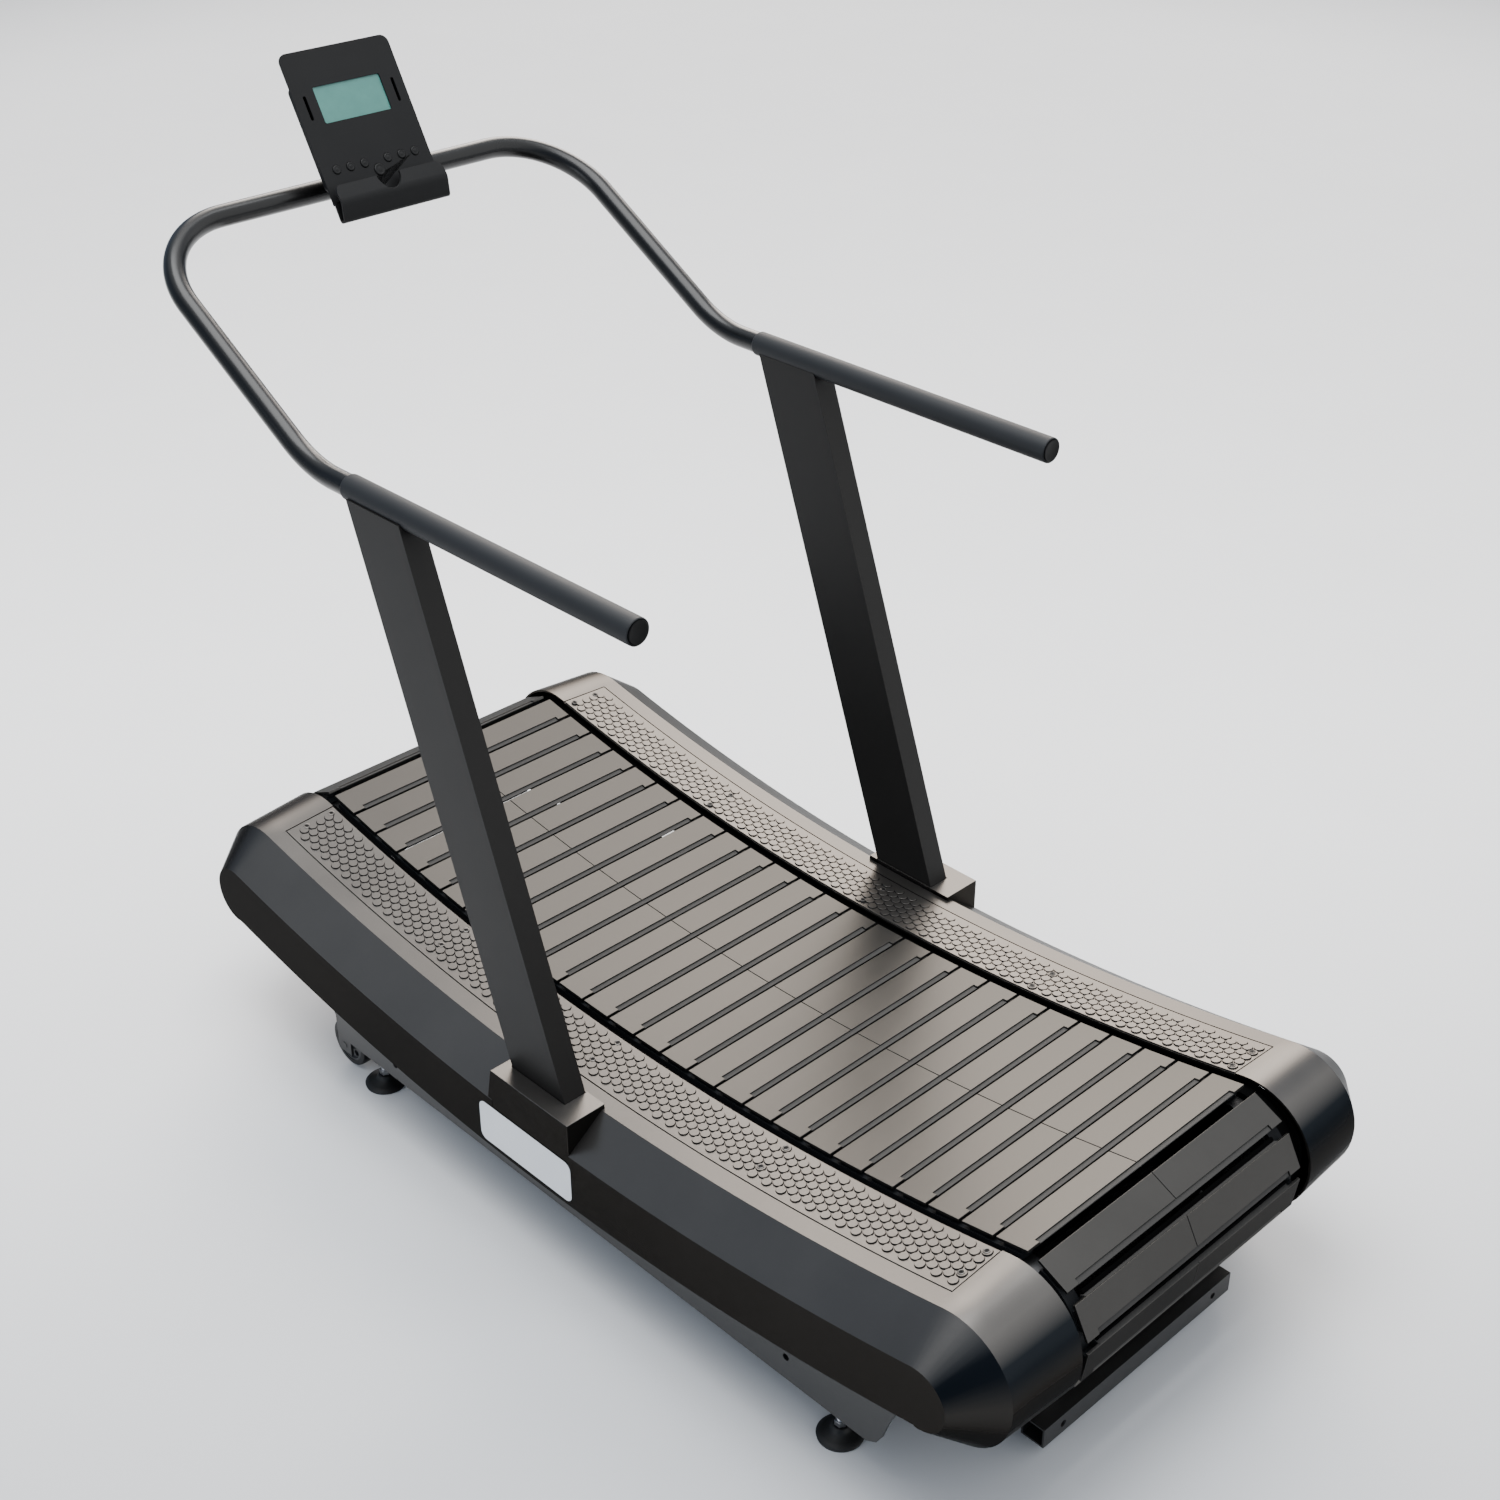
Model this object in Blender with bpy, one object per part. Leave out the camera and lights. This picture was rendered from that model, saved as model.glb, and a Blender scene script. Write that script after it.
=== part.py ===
"""Curved manual treadmill: a slatted running belt on two rollers, side covers, uprights, handrail
and console. Metres, +X the user's right, +Y forward, +Z up, floor at z = 0."""

import math

import bmesh
import bpy
from mathutils import Matrix, Vector

for _old in list(bpy.data.objects):
    bpy.data.objects.remove(_old, do_unlink=True)

# ---------------------------------------------------------------- driving sizes
FLOOR = 0.295            # deck's lowest point above the floor
DECK_R = 3.620           # radius of the running surface, seen from the side
TOP_PITCH_R = 3.6385     # radius of the belt's pitch line along the deck
ROLLER_Y = 0.769         # roller axles, in front of and behind the middle of the deck
ROLLER_Z = -0.0337       # roller axles, above the lowest point of the deck
ROLLER_PITCH_R = 0.0955
SLATS = 61
SLAT_HALF = 0.2405       # half the length of a slat
SLAT_WIDE = 0.0532
SURFACE_UP = TOP_PITCH_R - DECK_R
BAND_END = 0.0160        # how far a group's rubber bands go past its end slats' middles

COVER_IN, COVER_EDGE, COVER_OUT = 0.2588, 0.3863, 0.4532
PAD_OUT = 0.3565
DRUM_Y, DRUM_Z, DRUM_R = 0.782, -0.0250, 0.1080
EDGE_TOP_R = 3.6285       # the top falls away gently towards the slope's upper edge
EDGE_Y, EDGE_Z, EDGE_R, EDGE_FALL = 0.780, -0.0270, 0.1010, 0.1130
BAND_Y, BAND_Z, BAND_R = 0.776, -0.0263, 0.0500
BAND_TOP_R, BAND_LOW_R = 3.6775, 3.775
TOP_FALL = (EDGE_TOP_R - DECK_R) / (COVER_EDGE - COVER_IN)
SKIN = 0.004

PLATE_X = 0.4150         # outer face of the base rails
RAIL_LOW = -0.2245       # underside of the base rails
TUBE_YS = (-0.520, 0.0, 0.400)
PAD_Z = -0.1150          # flat top of the base rails where the uprights stand
FOOT_X, FOOT_YS = 0.3850, (0.479, -0.587)
WHEEL_X, WHEEL_Y, WHEEL_Z, WHEEL_R = 0.3880, 0.5590, -0.2475, 0.0435

GRIP_X, GRIP_Z, GRIP_REAR, GRIP_FRONT = 0.4005, 0.8420, -0.2200, 0.3810
TUBE_R, TUBE_BORE, SLEEVE_R = 0.0170, 0.0145, 0.0195
NOSE_Y, NOSE_Z = 0.8818, 1.0827

UP_IN, UP_OUT = 0.3822, 0.4220
UP_LEAN = 0.3520         # forward travel per unit of height
UP_WIDE = 0.1230
UP_TOP = 0.8222

TILT = math.radians(29.6)
KEYS_Y, KEYS_Z = 0.8300, 1.1270
PANEL_HALF = 0.1020
PANEL_TOP, PANEL_LOW = 0.1863, -0.0560
PANEL_THICK = 0.0030

FRONT = KEYS_Y + PANEL_TOP * math.sin(TILT) + PANEL_THICK * math.cos(TILT)
MID_Y = (FRONT - DRUM_Y - DRUM_R) / 2      # puts the middle of the whole length at y = 0

PITCH_TURN = math.asin(ROLLER_Y / (TOP_PITCH_R + ROLLER_PITCH_R))
TOP_HALF = PITCH_TURN * TOP_PITCH_R
WRAP_LONG = (math.pi + PITCH_TURN) * ROLLER_PITCH_R
BELT_LONG = 2 * TOP_HALF + 2 * WRAP_LONG + 2 * ROLLER_Y
PITCH = BELT_LONG / SLATS


# ---------------------------------------------------------------- materials
def material(name, colour, rough, metal=0.0):
    made = bpy.data.materials.new(name)
    made.use_nodes = True
    shader = made.node_tree.nodes["Principled BSDF"]
    shader.inputs["Base Color"].default_value = (*colour, 1.0)
    shader.inputs["Roughness"].default_value = rough
    shader.inputs["Metallic"].default_value = metal
    made.diffuse_color = (*colour, 1.0)
    return made


FRAME_BLACK = material("frame_black", (0.020, 0.021, 0.023), 0.45, 0.2)
COVER_GREY = material("cover_grey", (0.085, 0.085, 0.088), 0.38, 0.6)
PAD_GREY = material("pad_grey", (0.110, 0.108, 0.106), 0.42, 0.5)
SLAT_GREY = material("slat_grey", (0.100, 0.098, 0.094), 0.40, 0.6)
TUBE_BLACK = material("tube_black", (0.022, 0.024, 0.026), 0.30, 0.5)
GRIP_RUBBER = material("grip_rubber", (0.045, 0.052, 0.060), 0.70)
CAP_BLACK = material("cap_black", (0.012, 0.012, 0.013), 0.40)
PANEL_BLACK = material("panel_black", (0.016, 0.016, 0.017), 0.50)
LCD_TEAL = material("lcd_teal", (0.110, 0.300, 0.260), 0.25)
LABEL_PALE = material("label_pale", (0.700, 0.710, 0.720), 0.50)
STEEL = material("bright_steel", (0.520, 0.520, 0.530), 0.30, 1.0)
RUBBER = material("foot_rubber", (0.016, 0.016, 0.017), 0.65)
RAIL_STEEL = material("rail_steel", (0.300, 0.300, 0.310), 0.35, 1.0)


# ---------------------------------------------------------------- mesh helpers
def ruled(loops):
    """A closed solid through equal loops of points, capped at both ends."""
    count = len(loops[0])
    verts = [Vector(p) for loop in loops for p in loop]
    faces = [list(range(count))[::-1]]
    for i in range(len(loops) - 1):
        for j in range(count):
            k = (j + 1) % count
            faces.append([i * count + j, i * count + k, (i + 1) * count + k, (i + 1) * count + j])
    faces.append([(len(loops) - 1) * count + j for j in range(count)])
    return verts, faces


def prism(outline, x0, x1):
    """An outline of (y, z) points drawn out along X."""
    return ruled([[(x, y, z) for y, z in outline] for x in (x0, x1)])


def box(x0, x1, y0, y1, z0, z1):
    return prism([(y0, z0), (y1, z0), (y1, z1), (y0, z1)], x0, x1)


def rod(a, b, radius, sides=16, end_radius=None):
    a, b = Vector(a), Vector(b)
    along = (b - a).normalized()
    helper = Vector((0, 0, 1)) if abs(along.z) < 0.9 else Vector((1, 0, 0))
    u = along.cross(helper).normalized()
    w = along.cross(u)
    loops = []
    for centre, r in ((a, radius), (b, radius if end_radius is None else end_radius)):
        turn = [2 * math.pi * (i + 0.5) / sides for i in range(sides)]
        loops.append([centre + u * r * math.cos(t) + w * r * math.sin(t) for t in turn])
    return ruled(loops)


def lathe(profile, centre, along=(0, 0, 1), sides=24):
    """A solid of rings (distance along the axis, radius), capped at both ends."""
    along = Vector(along).normalized()
    helper = Vector((0, 0, 1)) if abs(along.z) < 0.9 else Vector((1, 0, 0))
    u = along.cross(helper).normalized()
    w = along.cross(u)
    centre = Vector(centre)
    turn = [2 * math.pi * (i + 0.5) / sides for i in range(sides)]
    return ruled([[centre + along * d + (u * math.cos(t) + w * math.sin(t)) * r for t in turn]
                  for d, r in profile])


def joined(parts):
    verts, faces = [], []
    for v, f in parts:
        base = len(verts)
        verts += v
        faces += [[i + base for i in face] for face in f]
    return verts, faces


def mirrored(part):
    return [Vector((-v.x, v.y, v.z)) for v in part[0]], [face[::-1] for face in part[1]]


def placed(part):
    """Moves a piece from the deck's frame to the floor's."""
    shift = Vector((0, -MID_Y, FLOOR))
    return [v + shift for v in part[0]], part[1]


def loose(name, parts):
    """A mesh object of closed pieces that may overlap."""
    mesh = bpy.data.meshes.new(name)
    verts, faces = joined(parts)
    mesh.from_pydata(verts, [], faces)
    mesh.update()
    made = bpy.data.objects.new(name, mesh)
    bpy.context.scene.collection.objects.link(made)
    work = bmesh.new()
    work.from_mesh(mesh)
    bmesh.ops.recalc_face_normals(work, faces=work.faces)
    work.to_mesh(mesh)
    work.free()
    return made


def settle(made):
    """Bakes an object's modifiers into its mesh."""
    bpy.context.view_layer.update()
    graph = bpy.context.evaluated_depsgraph_get()
    mesh = bpy.data.meshes.new_from_object(made.evaluated_get(graph))
    made.modifiers.clear()
    old = made.data
    made.data = mesh
    bpy.data.meshes.remove(old)


def combine(made, parts, operation):
    tool = loose("tool", [placed(p) for p in parts])
    step = made.modifiers.new("step", "BOOLEAN")
    step.operation = operation
    step.solver = "EXACT"
    step.use_self = True
    step.object = tool
    settle(made)
    bpy.data.objects.remove(tool, do_unlink=True)


def node(name, colour, parts, cuts=(), smooth=False, axis=None):
    """One named sub-part: its pieces united, then its cuts taken out."""
    made = loose(name, [placed(parts[0])])
    if len(parts) > 1:
        combine(made, parts[1:], "UNION")
    if cuts:
        combine(made, cuts, "DIFFERENCE")
    made.data.name = name
    made.data.materials.clear()
    made.data.materials.append(colour)
    work = bmesh.new()
    work.from_mesh(made.data)
    bmesh.ops.dissolve_degenerate(work, dist=1e-6, edges=work.edges)
    bmesh.ops.triangulate(work, faces=[f for f in work.faces if len(f.verts) > 4])
    work.to_mesh(made.data)
    work.free()
    if axis is not None:
        origin = Vector(axis) + Vector((0, -MID_Y, FLOOR))
        made.data.transform(Matrix.Translation(-origin))
        made.location = origin
    if smooth:
        for face in made.data.polygons:
            face.use_smooth = True
    return made


def pair(name, colour, parts, cuts=(), smooth=False, axis=None):
    """The same sub-part on both sides: built at +X as right, mirrored as left."""
    node(name + "_right", colour, parts, cuts, smooth, axis)
    flip = None if axis is None else (-axis[0], axis[1], axis[2])
    node(name + "_left", colour, [mirrored(p) for p in parts], [mirrored(p) for p in cuts],
         smooth, flip)


# ---------------------------------------------------------------- belt path
def deck(y, lower=0.0, radius=DECK_R):
    """Height of the running surface, or of a line below it, at a place along the deck."""
    big = radius + lower
    return DECK_R - math.sqrt(big * big - y * y)


def belt_point(s):
    """Point on the pitch line and unit direction of travel, s metres rearwards from the middle."""
    s = (s + BELT_LONG / 2) % BELT_LONG - BELT_LONG / 2
    side = -1.0 if s >= 0 else 1.0
    d = abs(s)
    if d <= TOP_HALF:
        turn = d / TOP_PITCH_R
        y = TOP_PITCH_R * math.sin(turn)
        z = DECK_R - TOP_PITCH_R * math.cos(turn)
        slope = turn
    elif d <= TOP_HALF + WRAP_LONG:
        turn = PITCH_TURN - (d - TOP_HALF) / ROLLER_PITCH_R
        y = ROLLER_Y - ROLLER_PITCH_R * math.sin(turn)
        z = ROLLER_Z + ROLLER_PITCH_R * math.cos(turn)
        slope = turn
    else:
        y = ROLLER_Y - (d - TOP_HALF - WRAP_LONG)
        z = ROLLER_Z - ROLLER_PITCH_R
        slope = -math.pi
    # travel is rearwards on top: in front of the middle it comes down, behind it goes up
    if side > 0:
        return (y, z), (-math.cos(slope), -math.sin(slope))
    return (-y, z), (-math.cos(slope), math.sin(slope))


def on_belt(s, along, up):
    """A point at `along` and `up` from the belt's pitch line at s, kept straight past s."""
    (y, z), (ty, tz) = belt_point(s)
    return y + ty * along + tz * up, z + tz * along - ty * up


def slat(s):
    """One slat: a plate with a rib under its leading edge that stops short of the belts."""
    top, half = SURFACE_UP, SLAT_WIDE / 2
    plate = [(-half, top), (-half, top - 0.0050), (half, top - 0.0050), (half, top)]
    rib = [(-half + 0.0004, top - 0.0045), (-half + 0.0004, top - 0.0180),
           (-half + 0.0094, top - 0.0180), (-half + 0.0094, top - 0.0045)]
    return [prism([on_belt(s, a, u) for a, u in plate], -SLAT_HALF, SLAT_HALF),
            prism([on_belt(s, a, u) for a, u in rib], -0.2148, 0.2148)]


def bands(upper, lower):
    """The two rubber belts under the slats' ends."""
    return [prism(upper + lower[::-1], *sorted((side * 0.2170, side * 0.2395)))
            for side in (-1, 1)]


def straight_group(name, first, last, count, straight, axis):
    """Slats first to last on a run of belt that goes on straight past the rollers' tangents."""
    start, end = (first + 0.5) * PITCH - BAND_END, (last + 0.5) * PITCH + BAND_END
    stations = {start + (end - start) * i / count for i in range(count + 1)}
    if straight:
        stations |= set(straight)
    upper, lower = [], []
    for s in sorted(stations):
        at = min(max(s, straight[0]), straight[1]) if straight else s
        upper.append(on_belt(at, s - at, SURFACE_UP - 0.0046))
        lower.append(on_belt(at, s - at, SURFACE_UP - 0.0215))
    parts = bands(upper, lower)
    for k in range(first, last + 1):
        parts += slat((k + 0.5) * PITCH)
    node(name, SLAT_GREY, parts, axis=axis)


def wrap_group(name, first, last, axis):
    """Slats that lie on a roller: their belt keeps to the roller's circle past both ends."""
    side = 1 if first > 0 else -1
    start, end = (first + 0.5) * PITCH - BAND_END, (last + 0.5) * PITCH + BAND_END
    count = 3 * (last - first + 1)
    upper, lower = [], []
    for i in range(count + 1):
        s = start + (end - start) * i / count
        turn = PITCH_TURN - (abs(s) - TOP_HALF) / ROLLER_PITCH_R
        for points, up in ((upper, SURFACE_UP - 0.0030), (lower, SURFACE_UP - 0.0215)):
            r = ROLLER_PITCH_R + up
            y = ROLLER_Y - r * math.sin(turn)
            points.append((-side * y, ROLLER_Z + r * math.cos(turn)))
    parts = bands(upper, lower)
    for k in range(first, last + 1):
        parts += slat((k + 0.5) * PITCH)
    node(name, SLAT_GREY, parts, axis=axis)


# ---------------------------------------------------------------- running gear
def rollers():
    for name, y in (("roller_rear", -ROLLER_Y), ("roller_front", ROLLER_Y)):
        at = lambda x: (x, y, ROLLER_Z)
        parts = [rod(at(-0.2980), at(0.2980), 0.0125, 12)]
        for side in (-1, 1):
            ends = sorted((side * 0.2160, side * 0.2410))
            parts.append(rod(at(ends[0]), at(ends[1]), 0.0912, 28))
            hub = sorted((side * 0.1900, side * 0.2500))
            parts.append(rod(at(hub[0]), at(hub[1]), 0.0260, 12))
        node(name, STEEL, parts, axis=(0, y, ROLLER_Z), smooth=True)


def bearings():
    for name, y in (("bearing_rear", -ROLLER_Y), ("bearing_front", ROLLER_Y)):
        flange = [(y - 0.045, ROLLER_Z - 0.012), (y - 0.024, ROLLER_Z - 0.034),
                  (y + 0.024, ROLLER_Z - 0.034), (y + 0.045, ROLLER_Z - 0.012),
                  (y + 0.045, ROLLER_Z + 0.012), (y + 0.024, ROLLER_Z + 0.034),
                  (y - 0.024, ROLLER_Z + 0.034), (y - 0.045, ROLLER_Z + 0.012)]
        parts = [prism(flange, 0.2685, 0.2765),
                 rod((0.2760, y, ROLLER_Z), (0.2940, y, ROLLER_Z), 0.0260, 12)]
        bore = [rod((0.2500, y, ROLLER_Z), (0.3000, y, ROLLER_Z), 0.0135, 12)]
        pair(name, FRAME_BLACK, parts, bore)


def curved_rails():
    """The arched bars along which small rollers carry the belt's edges."""
    steps = 16
    ys = [-0.690 + 1.380 * i / steps for i in range(steps + 1)]
    bar = [(y, deck(y, 0.0245)) for y in ys] + [(y, deck(y, 0.0620)) for y in ys[::-1]]
    parts = [prism(bar, 0.2435, 0.2535)]
    for i in range(17):
        y = -0.664 + 0.083 * i
        z = deck(y, 0.0222 + 0.0100)
        parts.append(rod((0.2190, y, z), (0.2440, y, z), 0.0100, 8))
    pair("belt_rail", RAIL_STEEL, parts)


def frame_plates():
    """Inner side plates: they carry the axles, the arched bars, the covers and the cross tubes."""
    ys = [-0.700 + 0.1 * i for i in range(15)]
    top = [(y, deck(y, 0.0200)) for y in ys]
    outline = ([(-0.835, -0.060), (-0.835, -0.005), (-0.800, 0.030), (-0.760, 0.040)] + top
               + [(0.760, 0.040), (0.800, 0.030), (0.835, -0.005), (0.835, -0.060),
                  (0.770, -0.090), (0.690, -0.125), (0.640, -0.1660), (-0.640, -0.1660),
                  (-0.690, -0.125), (-0.770, -0.090)])
    parts = [prism(outline, 0.2620, 0.2680)]
    for y in TUBE_YS:
        parts.append(box(0.2640, 0.3000, y - 0.035, y + 0.035, -0.1664, -0.1604))
    cuts = [rod((0.2500, y, ROLLER_Z), (0.2800, y, ROLLER_Z), 0.0280, 14)
            for y in (-ROLLER_Y, ROLLER_Y)]
    for y in (-0.42, -0.14, 0.14, 0.42):
        hole = [(y - 0.085, deck(y, 0.095)), (y + 0.085, deck(y, 0.095)),
                (y + 0.070, -0.142), (y - 0.070, -0.142)]
        cuts.append(prism(hole, 0.2500, 0.2800))
    pair("frame_plate", FRAME_BLACK, parts, cuts)


# ---------------------------------------------------------------- base
def base_rails():
    """Outer base rails: a web with rounded ends and a flange below, which the feet stand under."""
    low = RAIL_LOW
    web = [(-0.696, -0.1100), (-0.696, -0.1310), (-0.714, -0.1310), (-0.698, -0.168), (-0.688, -0.200),
           (-0.680, -0.214), (-0.662, low), (0.530, low), (0.549, -0.216), (0.561, -0.194),
           (0.571, -0.172), (0.578, -0.150), (0.578, -0.125)]
    web += [(y, deck(y, 0.110)) for y in (0.500, 0.380, 0.260, 0.130)]
    web += [(0.125, PAD_Z), (-0.165, PAD_Z)]
    web += [(y, deck(y, 0.110)) for y in (-0.170, -0.300, -0.430, -0.560)]
    parts = [prism(web, PLATE_X - 0.0060, PLATE_X),
             box(0.3500, PLATE_X - 0.0030, -0.6600, 0.5090, low, low + 0.0060),
             box(0.3560, PLATE_X - 0.0030, -0.1650, 0.1250, PAD_Z - 0.0060, PAD_Z)]
    for y in FOOT_YS:
        parts.append(rod((FOOT_X, y, low + 0.0050), (FOOT_X, y, low + 0.0180), 0.0110, 6))
    cuts = [rod((FOOT_X, y, low - 0.01), (FOOT_X, y, low + 0.03), 0.0064, 12) for y in FOOT_YS]
    cuts.append(rod((0.40, -0.5075, -0.1827), (0.43, -0.5075, -0.1827), 0.0060, 12))
    cuts.append(rod((0.40, WHEEL_Y, WHEEL_Z + 0.0455), (0.43, WHEEL_Y, WHEEL_Z + 0.0455), 0.0030, 8))
    cuts.append(rod((0.40, 0.4000, -0.1950), (0.43, 0.4000, -0.1950), 0.0060, 12))
    pair("base_rail", FRAME_BLACK, parts, cuts)


def cross_tubes():
    """Three square tubes across the base, between the flanges, below the belt's return run."""
    for name, y in zip(("cross_tube_rear", "cross_tube_mid", "cross_tube_front"), TUBE_YS):
        outer = box(-0.4080, 0.4080, y - 0.025, y + 0.025, -0.2180, -0.1668)
        inner = box(-0.4200, 0.4200, y - 0.022, y + 0.022, -0.2150, -0.1698)
        node(name, FRAME_BLACK, [outer], [inner])


def rear_bar():
    """A low bar across the back on two arms, which reach it from the rear cross tube."""
    parts = [box(-0.2170, 0.2170, -0.8120, -0.7720, -0.2750, -0.2400)]
    for side in (-1, 1):
        x0, x1 = sorted((side * 0.1500, side * 0.1900))
        parts.append(box(x0, x1, -0.7850, -0.4950, -0.2420, -0.2184))
    cuts = [box(-0.2200, 0.2200, -0.8090, -0.7750, -0.2720, -0.2430)]
    for side in (-1, 1):
        cuts.append(rod((side * 0.1743, -0.83, -0.2580), (side * 0.1743, -0.80, -0.2580), 0.0055, 12))
    node("rear_bar", FRAME_BLACK, parts, cuts)


def feet():
    for name, y in (("foot_front", FOOT_YS[0]), ("foot_rear", FOOT_YS[1])):
        low = -FLOOR
        shape = [(0.0, 0.0340), (0.0040, 0.0350), (0.0150, 0.0115), (0.0190, 0.0100),
                 (0.0191, 0.0060), (0.1150, 0.0060)]
        pair(name, RUBBER, [lathe(shape, (FOOT_X, y, low), sides=16)], axis=(FOOT_X, y, low),
             smooth=True)


def wheels():
    half = 0.0120
    tread = [(-half, WHEEL_R - 0.003), (-half + 0.003, WHEEL_R), (half - 0.003, WHEEL_R),
             (half, WHEEL_R - 0.003)]
    at = (WHEEL_X, WHEEL_Y, WHEEL_Z)
    bore = [rod((0.30, WHEEL_Y, WHEEL_Z), (0.45, WHEEL_Y, WHEEL_Z), 0.0068, 12)]
    pair("transport_wheel", RUBBER, [lathe(tread, at, (1, 0, 0), 24)], bore, axis=at, smooth=True)
    # bracket: two cheeks and a bridge over the wheel, with the axle pin through both
    cheek = [(WHEEL_Y - 0.018, WHEEL_Z - 0.014), (WHEEL_Y + 0.018, WHEEL_Z - 0.014),
             (WHEEL_Y + 0.018, WHEEL_Z + 0.0520), (WHEEL_Y - 0.018, WHEEL_Z + 0.0520)]
    parts = [prism(cheek, 0.3680, 0.3730), prism(cheek, 0.4035, 0.4080),
             box(0.3690, 0.4070, WHEEL_Y - 0.018, WHEEL_Y + 0.018, WHEEL_Z + 0.0470,
                 WHEEL_Z + 0.0530),
             rod((0.3660, WHEEL_Y, WHEEL_Z), (0.4087, WHEEL_Y, WHEEL_Z), 0.0062, 12)]
    pair("wheel_bracket", FRAME_BLACK, parts)


# ---------------------------------------------------------------- side covers
def cover_outline(top_r, drum, low=None, inset=0.0, dip=None):
    """Outline of a cover at one distance from the middle: arched top, round ends."""
    y0, z0, r0, fall = drum
    r = r0 - inset
    fall -= inset
    top = top_r + inset
    turn = math.asin(y0 / (top + r)) if dip is None else math.asin(y0 / (top_r + r0))
    n_top, n_end, n_low = 16, 9, 8
    points = []
    for i in range(n_top + 1):
        t = -turn + 2 * turn * i / n_top
        points.append((top * math.sin(t), DECK_R - top * math.cos(t)))
    for i in range(1, n_end + 1):
        if i <= 5:
            t = -turn + (math.pi / 2 + turn) * i / 5
        else:
            t = math.pi / 2 + math.pi / 2 * (i - 5) / (n_end - 5)
        points.append((y0 + r * math.sin(t), z0 + (r if t < math.pi / 2 else fall) * math.cos(t)))
    last = points[-1]
    if dip is not None:
        below = [(0.700, last[1] + 0.006), (0.700, dip)]
        for i in range(1, n_low - 2):
            below.append((0.700 - 1.4 * i / (n_low - 2), dip))
        below += [(-0.700, dip), (-0.700, last[1] + 0.006)]
        points += below
    else:
        for i in range(n_low):
            y = last[0] * (1 - 2 * (i + 1) / (n_low + 1))
            points.append((y, low(y)))
    ends = []
    for y, z in points[n_top + 1:n_top + 1 + n_end][::-1]:
        ends.append((-y, z))
    return points + ends


def side_covers():
    """Hollow shells over the running gear on each side, round at the ends, open underneath."""
    drum, band = (DRUM_Y, DRUM_Z, DRUM_R, DRUM_R), (BAND_Y, BAND_Z, BAND_R, BAND_R)
    edge = (EDGE_Y, EDGE_Z, EDGE_R, EDGE_FALL)
    flat = cover_outline(DECK_R, drum, lambda y: -0.150 + 0.017 * (y / DRUM_Y) ** 2)
    bend = cover_outline(EDGE_TOP_R, edge, lambda y: -0.157 + 0.017 * (y / EDGE_Y) ** 2)
    side = cover_outline(BAND_TOP_R, band, lambda y: deck(y, BAND_LOW_R - DECK_R))
    outer = ruled([[(x, y, z) for y, z in loop] for x, loop in
                   ((COVER_IN, flat), (COVER_EDGE, bend), (COVER_OUT, side))])
    flat_in = cover_outline(DECK_R, drum, None, SKIN, -0.260)
    bend_in = cover_outline(EDGE_TOP_R, edge, None, SKIN, -0.260)
    side_in = cover_outline(BAND_TOP_R, band, None, SKIN, -0.260)
    inner = ruled([[(x, y, z) for y, z in loop] for x, loop in
                   ((COVER_IN - 0.03, flat_in), (COVER_EDGE - 0.0022, bend_in),
                    (COVER_OUT - SKIN, side_in))])
    notch = box(0.3794, 0.4700, -0.0939, 0.0851, -0.0735, 0.0300)
    pair("side_cover", COVER_GREY, [outer], [inner, notch, pad_shape(0.0022, -0.02, 0.0005)])


def pad_shape(under, over, spare):
    """A long arched slab that follows the cover's gently falling top."""
    ys = [0.7520 + spare - (1.4990 + 2 * spare) * i / 20 for i in range(21)]
    loops = []
    for x in (COVER_IN - 20 * spare, PAD_OUT + spare):
        fall = TOP_FALL * (x - COVER_IN)
        loops.append([(x, y, deck(y, under + fall)) for y in ys]
                     + [(x, y, deck(y, over + fall)) for y in ys[::-1]])
    return ruled(loops)


def step_pads():
    pair("step_pad", PAD_GREY, [pad_shape(0.0019, -0.0001, 0.0)])


def upright_shoes():
    """The box beside each upright that closes the cut-out in the cover's slope."""
    outer = box(0.3797, COVER_OUT - 0.0005, -0.0935, 0.0847, -0.0732, 0.0)
    inner = box(0.3700, COVER_OUT - SKIN, -0.0895, 0.0807, -0.0900, -0.0040)
    slot = upright_shape(0.0006, UP_IN - 0.0006, UP_OUT + 0.0006)
    pair("upright_shoe", COVER_GREY, [outer], [inner, slot])


def upright_line(z):
    return 0.0085 + z * UP_LEAN


def upright_shape(extra, x0, x1, low=PAD_Z + 0.0003, top=UP_TOP):
    half = UP_WIDE / 2 + extra
    outline = [(upright_line(low) - half, low), (upright_line(low) + half, low),
               (upright_line(top) + half, top), (upright_line(top) - half, top)]
    return prism(outline, x0, x1)


def uprights():
    """Leaning rectangular tubes from the base rails to the grips."""
    web = box(GRIP_X - 0.0045, GRIP_X + 0.0045, 0.2450, 0.3550, 0.8150, GRIP_Z - TUBE_R - 0.0004)
    half = UP_WIDE / 2 - 0.0030
    low, top = PAD_Z - 0.0100, UP_TOP - 0.0040
    hollow = prism([(upright_line(low) - half, low), (upright_line(low) + half, low),
                    (upright_line(top) + half, top), (upright_line(top) - half, top)],
                   UP_IN + 0.0025, UP_OUT - 0.0025)
    foot = box(0.3600, PLATE_X - 0.0006, -0.1450, 0.0850, PAD_Z + 0.0003, PAD_Z + 0.0063)
    pair("upright", FRAME_BLACK, [upright_shape(0.0, UP_IN, UP_OUT - 0.0), web, foot], [hollow])


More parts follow.
